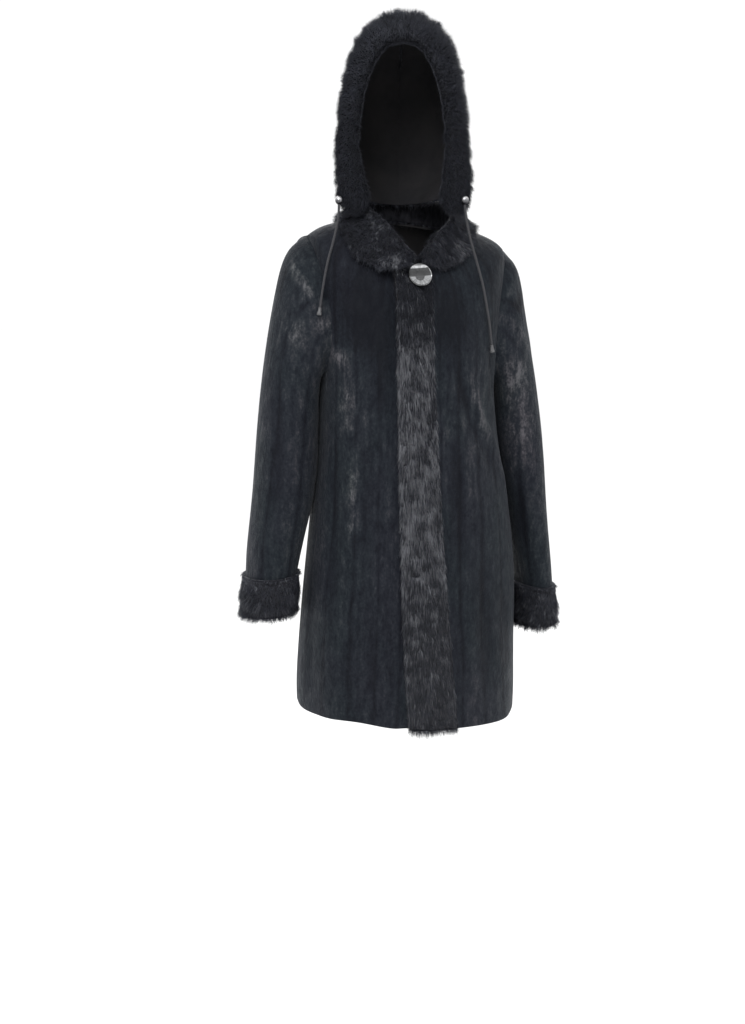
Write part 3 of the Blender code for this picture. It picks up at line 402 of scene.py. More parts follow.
def set_studio():
    bpy.context.scene.view_settings.view_transform = "Standard"
    world = bpy.data.worlds.new("pale studio")
    world.use_nodes = True
    background = world.node_tree.nodes["Background"]
    background.inputs["Color"].default_value = (1.0, 1.0, 1.0, 1.0)
    background.inputs["Strength"].default_value = DAYLIGHT
    bpy.context.scene.world = world

    bpy.ops.mesh.primitive_circle_add(
        vertices=96, radius=FLOOR_RADIUS, fill_type="NGON", location=(0, 0, FLOOR_Z)
    )
    floor = bpy.context.object
    floor.name = "floor"
    floor.data.materials.append(pale_floor())
    for light in LIGHTS:
        soft_light(*light)


# ---- finishes ----
class Finish:
    """A node material, with short ways to add and join its nodes."""

    def __init__(self, name):
        self.material = bpy.data.materials.new(name)
        self.material.use_nodes = True
        self.nodes = self.material.node_tree.nodes
        self.links = self.material.node_tree.links
        self.shader = self.nodes["Principled BSDF"]

    def set(self, **values):
        for name, value in values.items():
            socket = self.shader.inputs[name.replace("_", " ")]
            socket.default_value = (*value, 1.0) if isinstance(value, tuple) else value
        return self

    def fill(self, socket, value):
        """Sets a number or a colour on a node's socket, or joins another node's output to it."""
        if isinstance(value, (int, float)):
            socket.default_value = value
        elif isinstance(value, tuple):
            socket.default_value = (*value, 1.0)
        else:
            self.links.new(value, socket)

    def into(self, source, name):
        self.links.new(source, self.shader.inputs[name])

    def place(self):
        """Where the pattern lies, in the object's own space."""
        return self.nodes.new("ShaderNodeTexCoord").outputs["Object"]

    def kept(self, attribute, output="Vector"):
        """A place, or with Fac a number, that the piece's points keep."""
        node = self.nodes.new("ShaderNodeAttribute")
        node.attribute_name = attribute
        return node.outputs[output]

    def split(self, place):
        node = self.nodes.new("ShaderNodeSeparateXYZ")
        self.links.new(place, node.inputs["Vector"])
        return node.outputs["X"], node.outputs["Y"]

    def distance(self, place, middle=(0.0, 0.0, 0.0)):
        node = self.nodes.new("ShaderNodeVectorMath")
        node.operation = "DISTANCE"
        self.links.new(place, node.inputs[0])
        node.inputs[1].default_value = middle
        return node.outputs["Value"]

    def noise(self, place, scale, detail=4.0, roughness=0.55, distortion=0.0):
        """A cloudy value from 0 to 1, scaled by its own amount along each axis."""
        mapping = self.nodes.new("ShaderNodeMapping")
        mapping.inputs["Scale"].default_value = scale
        self.links.new(place, mapping.inputs["Vector"])
        node = self.nodes.new("ShaderNodeTexNoise")
        node.inputs["Scale"].default_value = 1.0
        node.inputs["Detail"].default_value = detail
        node.inputs["Roughness"].default_value = roughness
        node.inputs["Distortion"].default_value = distortion
        self.links.new(mapping.outputs["Vector"], node.inputs["Vector"])
        return node.outputs["Fac"]

    def math(self, operation, *values):
        node = self.nodes.new("ShaderNodeMath")
        node.operation = operation
        for socket, value in zip(node.inputs, values):
            self.fill(socket, value)
        return node.outputs["Value"]

    def add_up(self, start, *parts):
        """The start, and each part times its weight."""
        for part, weight in parts:
            start = self.math("MULTIPLY_ADD", part, weight, start)
        return start

    def steps(self, factor, stops):
        """A ramp through (place, colour or value) stops."""
        node = self.nodes.new("ShaderNodeValToRGB")
        elements = node.color_ramp.elements
        while len(elements) < len(stops):
            elements.new(0.5)
        for element, (where, colour) in zip(elements, stops):
            element.position = where
            element.color = (*colour, 1.0) if isinstance(colour, tuple) else (colour,) * 3 + (1.0,)
        self.links.new(factor, node.inputs["Fac"])
        return node.outputs["Color"]

    def mix(self, blend, first, second):
        node = self.nodes.new("ShaderNodeMix")
        node.data_type, node.blend_type = "RGBA", blend
        for index, value in ((0, 1.0), (6, first), (7, second)):
            self.fill(node.inputs[index], value)
        return node.outputs[2]

    def bump(self, height, distance):
        node = self.nodes.new("ShaderNodeBump")
        node.inputs["Distance"].default_value = distance
        self.links.new(height, node.inputs["Height"])
        self.into(node.outputs["Normal"], "Normal")


def pale_floor():
    floor = Finish("pale floor").set(Roughness=0.6)
    mottle = floor.noise(floor.place(), (1.5, 1.5, 1.5))
    floor.into(floor.steps(mottle, FLOOR_TONES), "Base Color")
    return floor.material


def sheared_mink():
    """Clipped pile: let-out strips down the garment, streaks along the nap, cool patches, and the painted
    sheen and shade that each point keeps.
    """
    fur = Finish("sheared mink").set(
        Specular_IOR_Level=0.12,
        Specular_Tint=(0.86, 0.92, 1.0),
        Sheen_Weight=0.09,
        Sheen_Roughness=0.40,
        Sheen_Tint=(0.70, 0.74, 0.80),
    )
    cloth, place = fur.kept("lie"), fur.place()
    wander = fur.noise(cloth, (5.0, 3.0, 1.0), detail=2.0)
    round_it, _ = fur.split(cloth)
    across = fur.add_up(fur.math("MULTIPLY", wander, 0.7), (round_it, 1 / STRIP))
    from_middle = fur.math("ABSOLUTE", fur.math("SUBTRACT", fur.math("FRACT", across), 0.5))
    groove = fur.steps(from_middle, ((0.0, 1.0), (0.36, 0.98), (0.46, 0.86), (0.5, 0.78)))
    strip_tone = fur.nodes.new("ShaderNodeTexWhiteNoise")
    strip_tone.noise_dimensions = "1D"
    fur.fill(strip_tone.inputs["W"], fur.math("FLOOR", across))

    streaks = fur.noise(place, (250.0, 250.0, 190.0), detail=5.0, roughness=0.70)
    long_streaks = fur.noise(cloth, (85.0, 7.0, 1.0), distortion=0.1)
    patches = fur.noise(place, (92.0, 92.0, 38.0), detail=6.0, roughness=0.72, distortion=0.15)
    tint = fur.noise(cloth, (7.0, 3.2, 1.0), detail=3.0)

    pile = fur.add_up(
        -0.06, (patches, 0.56), (long_streaks, 0.26), (streaks, 0.46), (strip_tone.outputs["Value"], 0.06)
    )
    broken = fur.math("MAXIMUM", fur.math("MULTIPLY_ADD", patches, 5.4, -0.95), 0.2)
    # Painted sheen and shade that each point keeps, broken up by the patches.
    sheen_and_shade = fur.math("MULTIPLY", fur.kept("sheen_and_shade", "Fac"), broken)
    light = fur.math("MULTIPLY_ADD", pile, groove, sheen_and_shade)
    tone = fur.steps(
        light,
        ((0.40, (0.0030, 0.0034, 0.0056)), (0.52, (0.0068, 0.0084, 0.0120)), (0.63, (0.0122, 0.0152, 0.0192)),
         (0.73, (0.0275, 0.0292, 0.0330)), (0.88, (0.0800, 0.0810, 0.0860))),
    )
    hue = fur.steps(
        tint,
        ((0.36, (0.99, 0.89, 0.95)), (0.46, (0.95, 0.91, 0.94)), (0.58, (0.87, 0.92, 0.90)),
         (0.70, (0.95, 0.92, 0.91))),
    )
    fur.into(fur.mix("MULTIPLY", tone, hue), "Base Color")
    fur.into(fur.steps(patches, ((0.3, 0.86), (0.7, 0.52))), "Roughness")
    fur.bump(fur.add_up(0.0, (patches, 0.9), (streaks, 0.35), (groove, 0.35)), 0.0022)
    return fur.material


def under_fur():
    """The dense soft layer that shows between the guard hairs."""
    fur = Finish("mink underfur").set(
        Specular_IOR_Level=0.12,
        Specular_Tint=(0.84, 0.88, 1.0),
        Sheen_Weight=0.12,
        Sheen_Roughness=0.5,
        Sheen_Tint=(0.58, 0.62, 0.74),
    )
    tufts = fur.noise(fur.place(), (150.0, 150.0, 60.0), detail=5.0, distortion=0.6)
    fur.into(fur.steps(tufts, ((0.35, (0.003, 0.003, 0.004)), (0.70, (0.016, 0.016, 0.019)))), "Base Color")
    fur.into(fur.steps(tufts, ((0.3, 0.9), (0.7, 0.7))), "Roughness")
    fur.bump(tufts, 0.003)
    return fur.material


def guard_hair(name, colour, roughness):
    """One of the shades of the glossy long hair."""
    hair = Finish(name).set(
        Base_Color=colour,
        Specular_IOR_Level=0.50,
        Specular_Tint=(0.84, 0.88, 1.0),
        Sheen_Weight=0.08,
        Sheen_Roughness=0.3,
        Sheen_Tint=(0.75, 0.78, 0.85),
    )
    varied = hair.noise(hair.place(), (60.0, 60.0, 25.0), detail=2.0)
    hair.into(hair.steps(varied, ((0.3, roughness + 0.10), (0.7, roughness - 0.06))), "Roughness")
    return hair.material


def skin_side():
    """The leather side of the skins, inside the coat."""
    skin = Finish("leather side").set(Specular_IOR_Level=0.2)
    grain = skin.noise(skin.place(), (900.0, 900.0, 900.0), detail=3.0)
    mottle = skin.noise(skin.place(), (14.0, 14.0, 14.0))
    skin.into(skin.steps(mottle, ((0.3, (0.010, 0.010, 0.012)), (0.7, (0.020, 0.019, 0.020)))), "Base Color")
    skin.into(skin.steps(grain, ((0.3, 0.92), (0.7, 0.74))), "Roughness")
    skin.bump(grain, 0.0004)
    return skin.material


def button_metal():
    """A dark rim round a polished dish, with a painted reflection on it: a smoky band across the dish and a
    dark middle, as the dish would show its surroundings from the front.
    """
    metal = Finish("polished button").set(Metallic=1.0)
    dish = metal.kept("dish")
    across, up = metal.split(dish)
    level = metal.add_up(up, (across, -0.09))
    # Painted reflection: the bands and the dark middle stand in for what the polished dish mirrors.
    reflection_bands = metal.steps(metal.math("MULTIPLY_ADD", level, 0.5, 0.5), BUTTON_PAINTED_REFLECTION)
    reflected_middle = metal.steps(metal.distance(dish, BUTTON_REFLECTED_MIDDLE), ((0.38, 0.17), (0.42, 1.0)))
    rays = metal.noise(metal.kept("turn"), (9.0, 0.6, 1.0), detail=3.0)
    rays = metal.steps(rays, ((0.38, 0.62), (0.58, 1.0)))
    rim = metal.steps(metal.distance(dish), ((0.0, 1.0), (0.88, 1.0), (0.93, 0.6), (0.97, 0.12)))
    reflection_and_rays = metal.mix("MULTIPLY", metal.mix("DARKEN", reflection_bands, reflected_middle), metal.mix("MULTIPLY", rays, rim))
    metal.into(metal.mix("MULTIPLY", reflection_and_rays, BUTTON_METAL), "Base Color")
    metal.into(metal.steps(rays, ((0.7, 0.26), (1.0, 0.16))), "Roughness")
    return metal.material


def bead_metal():
    """Satin silver with painted light and shade: bright on top and dark below, with a random mottle."""
    metal = Finish("satin bead").set(Metallic=1.0)
    _, up = metal.split(metal.kept("dish"))
    mottle = metal.noise(metal.place(), (420.0, 420.0, 420.0), detail=3.0)
    # Painted light and shade: paler towards the top and darker towards the bottom, plus the mottle.
    varied = metal.add_up(0.0, (up, 0.42), (mottle, 0.5))
    tone = metal.steps(
        varied, ((0.0, (0.05, 0.05, 0.055)), (0.26, (0.20, 0.20, 0.21)), (0.55, (0.86, 0.86, 0.87)))
    )
    metal.into(tone, "Base Color")
    metal.into(metal.steps(mottle, ((0.3, 0.38), (0.7, 0.28))), "Roughness")
    return metal.material


def tip_finish():
    """The satin grey bell at a cord's end."""
    bell = Finish("satin bell").set(Specular_IOR_Level=0.5)
    mottle = bell.noise(bell.place(), (500.0, 500.0, 160.0), detail=3.0)
    bell.into(bell.steps(mottle, ((0.3, (0.045, 0.045, 0.048)), (0.7, (0.095, 0.095, 0.100)))), "Base Color")
    bell.into(bell.steps(mottle, ((0.3, 0.55), (0.7, 0.40))), "Roughness")
    return bell.material


def braided_cord():
    """Two sets of yarns that cross as they go round the cord."""
    cord = Finish("grey braid").set(Specular_IOR_Level=0.35)
    along, round_it = cord.split(cord.nodes.new("ShaderNodeTexCoord").outputs["UV"])
    along = cord.math("MULTIPLY", along, YARN_TURNS)
    round_it = cord.math("MULTIPLY", round_it, YARNS_ROUND)
    right, left = (
        cord.math("SINE", cord.math("MULTIPLY", cord.math(way, along, round_it), 2 * pi))
        for way in ("ADD", "SUBTRACT")
    )
    weave = cord.math("MAXIMUM", right, left)
    fibre = cord.noise(cord.place(), (1800.0, 1800.0, 600.0), detail=2.0)
    tone = cord.add_up(fibre, (weave, 0.35))
    cord.into(cord.steps(tone, ((0.2, (0.010, 0.010, 0.012)), (0.9, (0.050, 0.050, 0.056)))), "Base Color")
    cord.into(cord.steps(fibre, ((0.3, 0.75), (0.7, 0.55))), "Roughness")
    cord.bump(weave, 0.0004)
    return cord.material


# ---- drawcords ----
def reach_along(line):
    """How far along the line each of its points is."""
    return np.concatenate([[0], np.cumsum(np.linalg.norm(np.diff(line, axis=0), axis=1))])


def smooth_route(route, count):
    """The route's own points, read through a smooth curve that never swings past them."""
    route = np.array(route, float)
    reach = reach_along(route)
    step = np.diff(reach)
    at = np.linspace(0, reach[-1], ROUTE_STEPS)
    left = np.clip(np.searchsorted(reach, at, side="right") - 1, 0, len(reach) - 2)
    t = (at - reach[left]) / step[left]
    line = []
    for values in route.T:
        slope = np.diff(values) / step
        tangent = np.concatenate([slope[:1], np.zeros(len(slope) - 1), slope[-1:]])
        before, after = 2 * step[1:] + step[:-1], step[1:] + 2 * step[:-1]
        with np.errstate(divide="ignore", invalid="ignore"):
            mean = (before + after) / (before / slope[:-1] + after / slope[1:])
        tangent[1:-1] = np.where(slope[:-1] * slope[1:] > 0, mean, 0.0)
        line.append(
            values[left] * (1 + 2 * t) * (1 - t) ** 2
            + tangent[left] * step[left] * t * (1 - t) ** 2
            + values[left + 1] * t**2 * (3 - 2 * t)
            + tangent[left + 1] * step[left] * t**2 * (t - 1)
        )
    line = np.stack(line, 1)
    reach = reach_along(line)
    even = np.linspace(0, reach[-1], count)
    return np.stack([np.interp(even, reach, line[:, axis]) for axis in range(3)], 1)


def make_cord(side, route, material):
    """A drawcord along its route, which carries the bell at its end."""
    line = smooth_route(route, CORD_RINGS)
    curve = bpy.data.curves.new(f"braided_cord_{side}", "CURVE")
    curve.dimensions = "3D"
    curve.bevel_depth = CORD_DIAMETER / 2
    curve.bevel_resolution = 3
    curve.use_fill_caps = True
    spline = curve.splines.new("POLY")
    spline.points.add(len(line) - 1)
    for point, place in zip(spline.points, line):
        point.co = (*place, 1)
    spline.use_smooth = True
    curve.materials.append(material)
    cord = settle(add_piece(f"braided_cord_{side}", curve))
    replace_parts(cord, f"drawcord_{side}")


# ---- button, beads and tips ----
def face_axis(node, mesh):
    """The way the button's dish faces. The round beads and tips are taken from the front."""
    if node != "button":
        return np.array([0.0, -1.0, 0.0])
    return unit(np.array([face.normal * face.area for face in mesh.polygons if face.normal.y < 0]).sum(0))


def make_hard(node, name, material):
    """A finer copy of a hard solid. Its points keep where they lie on its face, from -1 to 1 across and
    up, and their turn round its middle, for its finish."""
    piece = shell_of(node, name, levels=1, sharp=SHARP_METAL)
    mesh = piece.data
    mesh.materials.append(material)
    places = points_of(mesh)
    middle = (places.min(0) + places.max(0)) / 2
    half = np.ptp(places, axis=0).max() / 2
    axis = face_axis(node, mesh)
    right = unit(np.cross([0.0, 0.0, 1.0], axis))
    up = np.cross(axis, right)
    dish = np.stack([(places - middle) @ right, (places - middle) @ up], 1) / half
    store(mesh, "dish", dish)
    turn = np.abs(np.arctan2(dish[:, 1], dish[:, 0]))
    store(mesh, "turn", np.stack([turn, np.linalg.norm(dish, axis=1)], 1))
    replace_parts(settle(piece), node)
    return piece


# ---- the cloth's shape ----
def out_of_body(places):
    """The way out from the body's axis."""
    return (places - BODY_AXIS) * np.array([1.0, BODY_FLATNESS, 0.0])


def sleeve_axis(side):
    """The two ends of a sleeve's axis; side is 1 for the wearer's left one and -1 for the right one."""
    return (point * np.array([side, 1, 1]) for point in SLEEVE_AXIS)


def out_of_sleeve(side):
    """The way out from a sleeve's axis, from shoulder to wrist."""
    start, end = sleeve_axis(side)
    way = end - start

    def out(places):
        share = np.clip(((places - start) @ way) / (way @ way), 0, 1)
        return places - (start + share[:, None] * way)

    return out


def out_of_hood(places):
    """The way out from the head's middle."""
    return (places - np.array(HOOD_MIDDLE)) * np.array([1.0, 1.0, 0.8])


def lie_on_body(places):
    """Metres round the body and down the cloth from the middle of its neck, for creases and pattern."""
    away = places - BODY_AXIS
    turn = np.arctan2(away[:, 0], -away[:, 1])
    turn = np.where((places[:, 1] > BACK_Y) & (turn < 0), turn + 2 * pi, turn)
    return np.stack([turn * BODY_ROUND, places[:, 2] - np.hypot(away[:, 0], away[:, 1])], 1)


def lie_on_sleeve(side):
    """Metres round the sleeve, its front above 0, and down it, with the cap measured straight across."""
    start, end = sleeve_axis(side)
    way = end - start

    def lie(places):
        away = places - start - ((places - start) @ way / (way @ way))[:, None] * way
        turn = np.arctan2(-away[:, 1], side * away[:, 0])
        cap = ramp(places[:, 2], *SLEEVE_CAP)
        round_it = turn * SLEEVE_ROUND * (1 - cap) - places[:, 1] * cap
        return np.stack([round_it, places[:, 2] - side * places[:, 0]], 1)

    return lie


def beside_line(cloth, line):
    """How far each place of the cloth is from a line drawn on it, and its share of the way along."""
    line = np.array(line)
    reach = reach_along(line) / reach_along(line)[-1]
    away, share = np.full(len(cloth), 9.0), np.zeros(len(cloth))
    for start, end, first, last in zip(line, line[1:], reach, reach[1:]):
        way = end - start
        part = np.clip(((cloth - start) @ way) / (way @ way), 0, 1)
        far = np.linalg.norm(cloth - start - part[:, None] * way, axis=1)
        nearer = far < away
        away = np.where(nearer, far, away)
        share = np.where(nearer, first + part * (last - first), share)
    return away, share


def crease_depth(cloth, creases):
    """Each crease is deepest in its middle stretch and runs out at both ends."""
    depth = np.zeros(len(cloth))
    for deep, width, *line in creases:
        away, share = beside_line(cloth, line)
        depth += deep * np.exp(-((away / width) ** 2)) * between(share, CREASE_START, CREASE_END)
    return depth


def brushed_sheen_and_shade(cloth, patches):
    """Painted sheen and shade: how much paler the brushed pile is at each place, darker where below 0."""
    light = np.zeros(len(cloth))
    for round_it, down, width, height, lean, paler in patches:
        way = np.array([np.cos(radians(lean)), np.sin(radians(lean))])
        away = cloth - np.array([round_it, down])
        across, along = away @ way, away @ np.array([-way[1], way[0]])
        light += paler * np.exp(-((across / width) ** 2) - (along / height) ** 2)
    return light


# ---- shells of the coat ----
def shell_of(node, name, levels=2, sharp=SHARP_ANGLE):
    """A merged copy of a solid, with its squares back, made finer and smooth between its edges."""
    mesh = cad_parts[node].data.copy()
    mesh.name = name
    mesh.materials.clear()
    piece = add_piece(name, mesh)
    select_only(piece)
    bpy.ops.object.mode_set(mode="EDIT")
    bpy.ops.mesh.select_all(action="SELECT")
    bpy.ops.mesh.customdata_custom_splitnormals_clear()
    bpy.ops.mesh.remove_doubles(threshold=MERGE_GAP)
    bpy.ops.mesh.tris_convert_to_quads(face_threshold=SQUARE_ANGLE, shape_threshold=SQUARE_ANGLE)
    bpy.ops.object.mode_set(mode="OBJECT")
    keep_sharp(mesh, sharp)
    finer = piece.modifiers.new("finer", "SUBSURF")
    finer.levels = finer.render_levels = levels
    bpy.ops.object.modifier_apply(modifier=finer.name)
    bpy.ops.object.shade_smooth_by_angle(angle=sharp)
    return piece


def keep_sharp(mesh, angle):
    """Creases the edges that turn by more than the angle."""
    shape = bmesh.new()
    shape.from_mesh(mesh)
    crease = shape.edges.layers.float.get("crease_edge") or shape.edges.layers.float.new("crease_edge")
    for edge in shape.edges:
        if len(edge.link_faces) == 2 and edge.calc_face_angle(0) > angle:
            edge[crease] = 1.0
    shape.to_mesh(mesh)
    shape.free()


def tree_of(node):
    """The solid's faces, to look for the nearest one."""
    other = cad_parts[node].data
    corners = [tuple(face.vertices) for face in other.polygons]
    return BVHTree.FromPolygons([tuple(point.co) for point in other.vertices], corners)


def sewn_up(piece, neighbours, reach):
    """Closes the narrow seams: the piece's points beside a neighbour go right up to it.

    Gives back how free of the neighbours each point is, from 0 on a seam to 1."""
    places = points_of(piece.data)
    free = np.ones(len(places))
    for tree in map(tree_of, neighbours):
        for index, place in enumerate(places):
            near, _, _, gap = tree.find_nearest(Vector(place), 3 * reach)
            if near is None:
                continue
            free[index] = min(free[index], gap / (3 * reach))
            if 1e-6 < gap < reach:
                places[index] = place + (np.array(near) - place) * (0.5 + SEAM_OVERLAP / gap)
    move_points(piece.data, places)
    return free


def close_up(mesh, facing, rise):
    """The pile stands fuller where the wearer's right sleeve rests beside the body."""
    places, normals = points_of(mesh), normals_of(mesh)
    beside = between(-places[:, 2], CLOSE_FROM, CLOSE_TO) * ramp(normals[:, 0] * facing, *CLOSE_SIDE)
    move_points(mesh, places + normals * (rise * beside)[:, None])


def paint_sides(mesh, outwards, outer, inner):
    """The faces that look out of the coat get the outer finish, and the others the inner one."""
    mesh.materials.append(outer)
    mesh.materials.append(inner)
    middles = np.array([face.center for face in mesh.polygons])
    towards = np.array([face.normal for face in mesh.polygons])
    inside = (unit(outwards(middles)) * towards).sum(1) < LEATHER_SIDE
    mesh.polygons.foreach_set("material_index", inside.astype(np.int32))
    mesh.update()


def raise_pile(mesh, outwards):
    """The sheared pile stands a little over the solid's outer side."""
    places, normals = points_of(mesh), normals_of(mesh)
    facing = (unit(outwards(places)) * normals).sum(1)
    move_points(mesh, places + normals * (PILE_RISE * ramp(facing, *OUTER_SIDE))[:, None])


def sink_underfur(mesh, outwards, depth, free):
    """Lowers the outer side under the hair, unevenly, but not at a seam or where it faces down."""
    places, normals = points_of(mesh), normals_of(mesh)
    facing = (unit(outwards(places)) * normals).sum(1)
    waves = UNDERFUR_WAVES * depth * cloud(places, UNDERFUR_WAVE_SIZE, seed=5)
    lowered = ramp(facing, *OUTER_SIDE) * (depth + waves)
    lowered *= ramp(normals[:, 2], *FACING_DOWN) * ramp(free, *SEAM_FREE)
    move_points(mesh, places - normals * lowered[:, None])


# ---- guard hair ----
def roots_on(mesh, count, draw):
    """Evenly scattered places on the furred faces, and the way up from the skin at each."""
    mesh.calc_loop_triangles()
    corners = np.empty(len(mesh.loop_triangles) * 3, np.int32)
    mesh.loop_triangles.foreach_get("vertices", corners)
    sides = np.empty(len(mesh.loop_triangles), np.int32)
    mesh.loop_triangles.foreach_get("material_index", sides)
    corners = corners.reshape(-1, 3)[sides == 0]
    places, normals = points_of(mesh), normals_of(mesh)
    a, b, c = (places[corners[:, k]] for k in range(3))
    area = np.linalg.norm(np.cross(b - a, c - a), axis=1)
    chosen = draw.choice(len(corners), count, p=area / area.sum())
    share = draw.random((count, 2))
    share = np.where(share.sum(1, keepdims=True) > 1, 1 - share, share)
    weights = np.stack([1 - share.sum(1), share[:, 0], share[:, 1]], 1)[..., None]
    root = (places[corners[chosen]] * weights).sum(1)
    return root, unit((normals[corners[chosen]] * weights).sum(1))


def comb(root, up, nap, length, lean, swing, lift, flat, draw, seed):
    """Each hair's way and length from its root to its tip."""
    count = len(root)
    along = nap(root)
    along = unit(along - (along * up).sum(1, keepdims=True) * up)
    across = np.cross(up, along)
    turn = np.radians(draw.normal(0, swing[0], count) + swing[1] * cloud(root, TURN_WAVE, seed + 1))
    along = along * np.cos(turn)[:, None] + across * np.sin(turn)[:, None]
    rise = lean + draw.normal(0, lift[0], count) + lift[1] * cloud(root, RISE_WAVE, seed + 2)
    uneven = 1 + UNEVEN_LENGTH * draw.normal(size=count) + WAVY_LENGTH * cloud(root, LENGTH_WAVE, seed + 3)
    reach = length * np.clip(uneven, *LENGTH_LIMITS)
    if flat is not None:
        rise = rise * flat(root)
        reach = reach * (FLAT_LENGTH + (1 - FLAT_LENGTH) * flat(root))
    rise = np.radians(np.clip(rise, *RISE_LIMITS))
    return (along * np.cos(rise)[:, None] + up * np.sin(rise)[:, None]) * reach[:, None]


def draw_together(root, shaft, clump, tuft, draw):
    """The tips of each tuft lean towards the tip of the hair in its middle."""
    count = len(root)
    guides = draw.choice(count, max(count // tuft, 8), replace=False)
    tree = kdtree.KDTree(len(guides))
    for index, guide in enumerate(guides):
        tree.insert(root[guide], index)
    tree.balance()
    nearest = guides[[tree.find(place)[1] for place in root]]
    gathered = shaft[nearest] + (root[nearest] - root) * TIP_PULL
    return shaft * (1 - clump) + gathered * clump


def spikes(root, up, shaft, width, draw):
    """A thin closed spike with three sides and a base for each hair."""
    count = len(root)
    side = unit(np.cross(shaft, up))
    thick = width * draw.uniform(*THICKNESS_LIMITS, count)[:, None]
    low = root - up * ROOT_DEPTH
    back = unit(np.cross(side, shaft)) * thick * SPIKE_DEPTH
    points = np.stack([low - side * thick / 2, low + side * thick / 2, low + back, root + shaft], 1)
    first = np.arange(count)[:, None, None] * 4
    faces = first + np.array([[0, 1, 3], [1, 2, 3], [2, 0, 3], [0, 2, 1]])
    return points.reshape(-1, 3), faces.reshape(-1, 3)


def hair_mesh(name, points, faces, shade, shades):
    """One mesh of all the spikes, each four faces in its own shade."""
    mesh = bpy.data.meshes.new(name)
    mesh.vertices.add(len(points))
    mesh.vertices.foreach_set("co", points.ravel())
    mesh.loops.add(faces.size)
    mesh.loops.foreach_set("vertex_index", faces.ravel().astype(np.int32))
    mesh.polygons.add(len(faces))
    mesh.polygons.foreach_set("loop_start", np.arange(0, faces.size, 3, dtype=np.int32))
    mesh.polygons.foreach_set("material_index", np.repeat(shade, 4))
    mesh.update(calc_edges=True)
    mesh.shade_smooth()
    for material in shades:
        mesh.materials.append(material)
    return mesh


def grow(
    name, base, shades, nap, light, count, length, width, lean, seed, clump, tuft, contrast,
    swing=(11, 16), lift=(7, 8), speck=(0.0042, 0.25), flat=None,
):
    """Guard hair on a piece's furred faces, as one mesh.

    nap gives the way the hair lies at each place, light how pale it is, and flat how far it rises
    there as a share of its own rise."""
    draw = np.random.default_rng(seed)
    root, up = roots_on(base.data, count, draw)
    shaft = comb(root, up, nap, length, lean, swing, lift, flat, draw, seed)
    shaft = draw_together(root, shaft, clump, tuft, draw)
    points, faces = spikes(root, up, shaft, width, draw)
    size, slim = speck
    tone = WAVE_TONE * cloud(root, TONE_WAVE, seed + 4)
    tone = tone + SPECK_TONE * cloud(root * np.array([1.0, 1.0, slim]), size, seed + 5)
    tone = contrast * (tone + HAIR_TONE * draw.normal(size=count)) + light(root)
    shade = np.digitize(tone, SHADE_LIMITS).astype(np.int32)
    return settle(add_piece(name, hair_mesh(name, points, faces, shade, shades)))


def everywhere(value):
    """The same way or the same paleness at every place."""
    return lambda root: np.array(value)


def from_band_middle(root):
    """How far a place is to the wearer's left of the band's middle line."""
    return root[:, 0] - BAND_X - BAND_SLANT * root[:, 2] ** 2


def nap_band(root):
    """Down the band, a little outwards towards its two edges."""
    sideways = np.clip(from_band_middle(root) / BAND_HALF_WIDTH, -1, 1) * 0.12
    return np.stack([sideways, 0 * sideways, -1 + 0 * sideways], 1)


def nap_collar(root):
    """Up the stand, outwards over the roll and down the fall."""
    return 0.75 * unit(root * np.array([1.0, 1.0, 0.0])) + np.array([0.0, 0.0, -0.8])


def nap_rim(root):
    """Away from the face, and hanging a little."""
    away = root - np.array([HOOD_MIDDLE[0] - 0.008, 0.0, HOOD_MIDDLE[2]])
    return unit(away * np.array([1.0, 0.0, 1.0])) * 0.9 + np.array([0.0, -0.25, -0.55])


def flat_at_top(root):
    """The cuff's hair lies flat along its turned upper edge."""
    return CUFF_FLAT + (1 - CUFF_FLAT) * ramp(root[:, 2].max() - root[:, 2], *CUFF_FADE)


def flat_at_hem(root):
    """The band's hair is clipped level with the hem."""
    return HEM_FLAT + (1 - HEM_FLAT) * ramp(root[:, 2], HEM_Z, HEM_Z + HEM_FADE)


def band_sheen_and_shade(root):
    """Painted sheen and shade on the band's hair: paler in its middle height and towards its free edge,
    darker at its top.
    """
    middle = between(root[:, 2], BAND_LOW, BAND_TOP)
    edge = 1 - ramp(from_band_middle(root), *BAND_EDGE)
    top = ramp(root[:, 2], *BAND_TOP)
    return BAND_FUR + BAND_MIDDLE_SHEEN * middle + BAND_EDGE_SHEEN * edge + BAND_TOP_SHADE * top


def collar_highlights(root):
    """Near-black plush with a few painted highlights, paler wisps of its hair."""
    paler = np.full(len(root), COLLAR_FUR)
    for place, size, light in COLLAR_HIGHLIGHTS:
        away = (root - np.array(place)) / np.array(size)
        paler += light * np.exp(-(away**2).sum(1))
    return paler


# ---- pieces ----
def make_sheared(node, outwards, lie, creases, sheen_and_shade, outer, inner):
    """A sheared piece with its creases, its strips, and painted sheen and shade from its brushed patches and
    creases.
    """
    shell = shell_of(node, f"sheared_{node}")
    sewn_up(shell, SEWN_TO[node], SEAM_GAP)
    mesh = shell.data
    places = points_of(mesh)
    cloth = lie(places)
    depth = crease_depth(cloth, creases)
    move_points(mesh, places - unit(outwards(places)) * depth[:, None])
    if node in CLOSE_PILE:
        close_up(mesh, *CLOSE_PILE[node])
    raise_pile(mesh, outwards)
    paint_sides(mesh, outwards, outer, inner)
    store(mesh, "lie", cloth)
    # Painted shade in the creases and up the chest, painted highlight on the ridges, kept with the brushed
    # patches' painted sheen and shade.
    shade = CREASE_SHADE * np.clip(depth, CREASE_PALE, CREASE_DARK)
    if outwards is out_of_body:
        shade += CHEST_SHADE * ramp(cloth[:, 1], *CHEST_FADE)
    store(mesh, "sheen_and_shade", brushed_sheen_and_shade(cloth, sheen_and_shade) - shade)
    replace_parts(settle(shell), node)


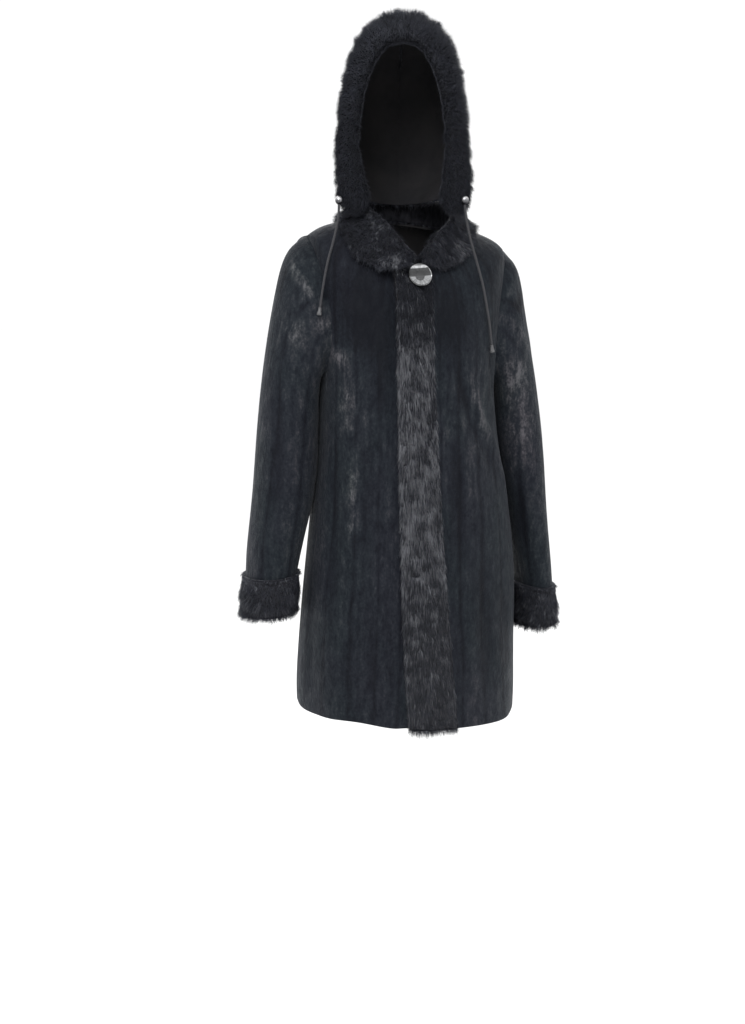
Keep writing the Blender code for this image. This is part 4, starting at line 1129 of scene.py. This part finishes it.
def make_long(node, outwards, outer, inner, **hairs):
    """A long-haired piece, its underfur and the guard hair on it. The rim isn't cut flat but padded."""
    sink, levels = UNDERFUR[node]
    shell = shell_of(node, f"underfur_{node}", levels)
    free = sewn_up(shell, SEWN_TO.get(node, ()), FUR_SEAM_GAP)
    sink_underfur(shell.data, outwards, sink, free)
    paint_sides(shell.data, outwards, outer, inner)
    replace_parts(settle(shell), node)
    hair = grow(f"guard_hair_{node}", shell, **hairs)


def make_fittings():
    braid, bell, silver = braided_cord(), tip_finish(), bead_metal()
    for side, route in (("right", CORD_RIGHT), ("left", CORD_LEFT)):
        tip = make_hard(f"cord_tip_{side}", f"satin_bell_{side}", bell)
        make_cord(side, route, braid)
        make_hard(f"bead_{side}", f"satin_bead_{side}", silver)
    make_hard("button", "polished_button", button_metal())


def make_coat():
    leather, underfur = skin_side(), under_fur()
    shades = [guard_hair(*shade) for shade in HAIR_SHADES]
    sheared = dict(outer=sheared_mink(), inner=leather)
    long_fur = dict(outer=underfur, inner=leather, shades=shades)
    long_fur_inside_too = dict(long_fur, inner=underfur)

    body = dict(sheared, outwards=out_of_body, lie=lie_on_body, creases=BODY_CREASES, sheen_and_shade=BODY_SHEEN_AND_SHADE)
    for node in ("front_right", "front_left", "back"):
        make_sheared(node, **body)
    for side, word, creases, sheen_and_shade in (
        (-1, "right", RIGHT_SLEEVE_CREASES, RIGHT_SLEEVE_SHEEN_AND_SHADE),
        (1, "left", LEFT_SLEEVE_CREASES, LEFT_SLEEVE_SHEEN_AND_SHADE),
    ):
        make_sheared(
            f"sleeve_{word}", out_of_sleeve(side), lie_on_sleeve(side), creases, sheen_and_shade, **sheared
        )

    make_long(
        "front_band", out_of_body, nap=nap_band, light=band_sheen_and_shade, flat=flat_at_hem, **BAND_HAIR, **long_fur
    )
    make_long("collar", out_of_body, nap=nap_collar, light=collar_highlights, **COLLAR_HAIR, **long_fur_inside_too)
    cuff_fur = dict(CUFF_HAIR, nap=everywhere(CUFF_NAP), light=everywhere(CUFF_FUR), flat=flat_at_top)
    hood_fur = dict(HOOD_HAIR, nap=everywhere(HOOD_NAP), light=everywhere(HOOD_FUR))
    rim_fur = dict(RIM_HAIR, nap=nap_rim, light=everywhere(HOOD_FUR))
    for side, word in ((-1, "right"), (1, "left")):
        make_long(f"cuff_{word}", out_of_sleeve(side), seed=CUFF_SEEDS[word], **cuff_fur, **long_fur)
        make_long(f"hood_{word}", out_of_hood, seed=HOOD_SEEDS[word], **hood_fur, **long_fur)
    make_long("hood_rim", out_of_hood, **rim_fur, **long_fur_inside_too)


# ---- run ----
set_camera()
set_studio()
make_fittings()
make_coat()
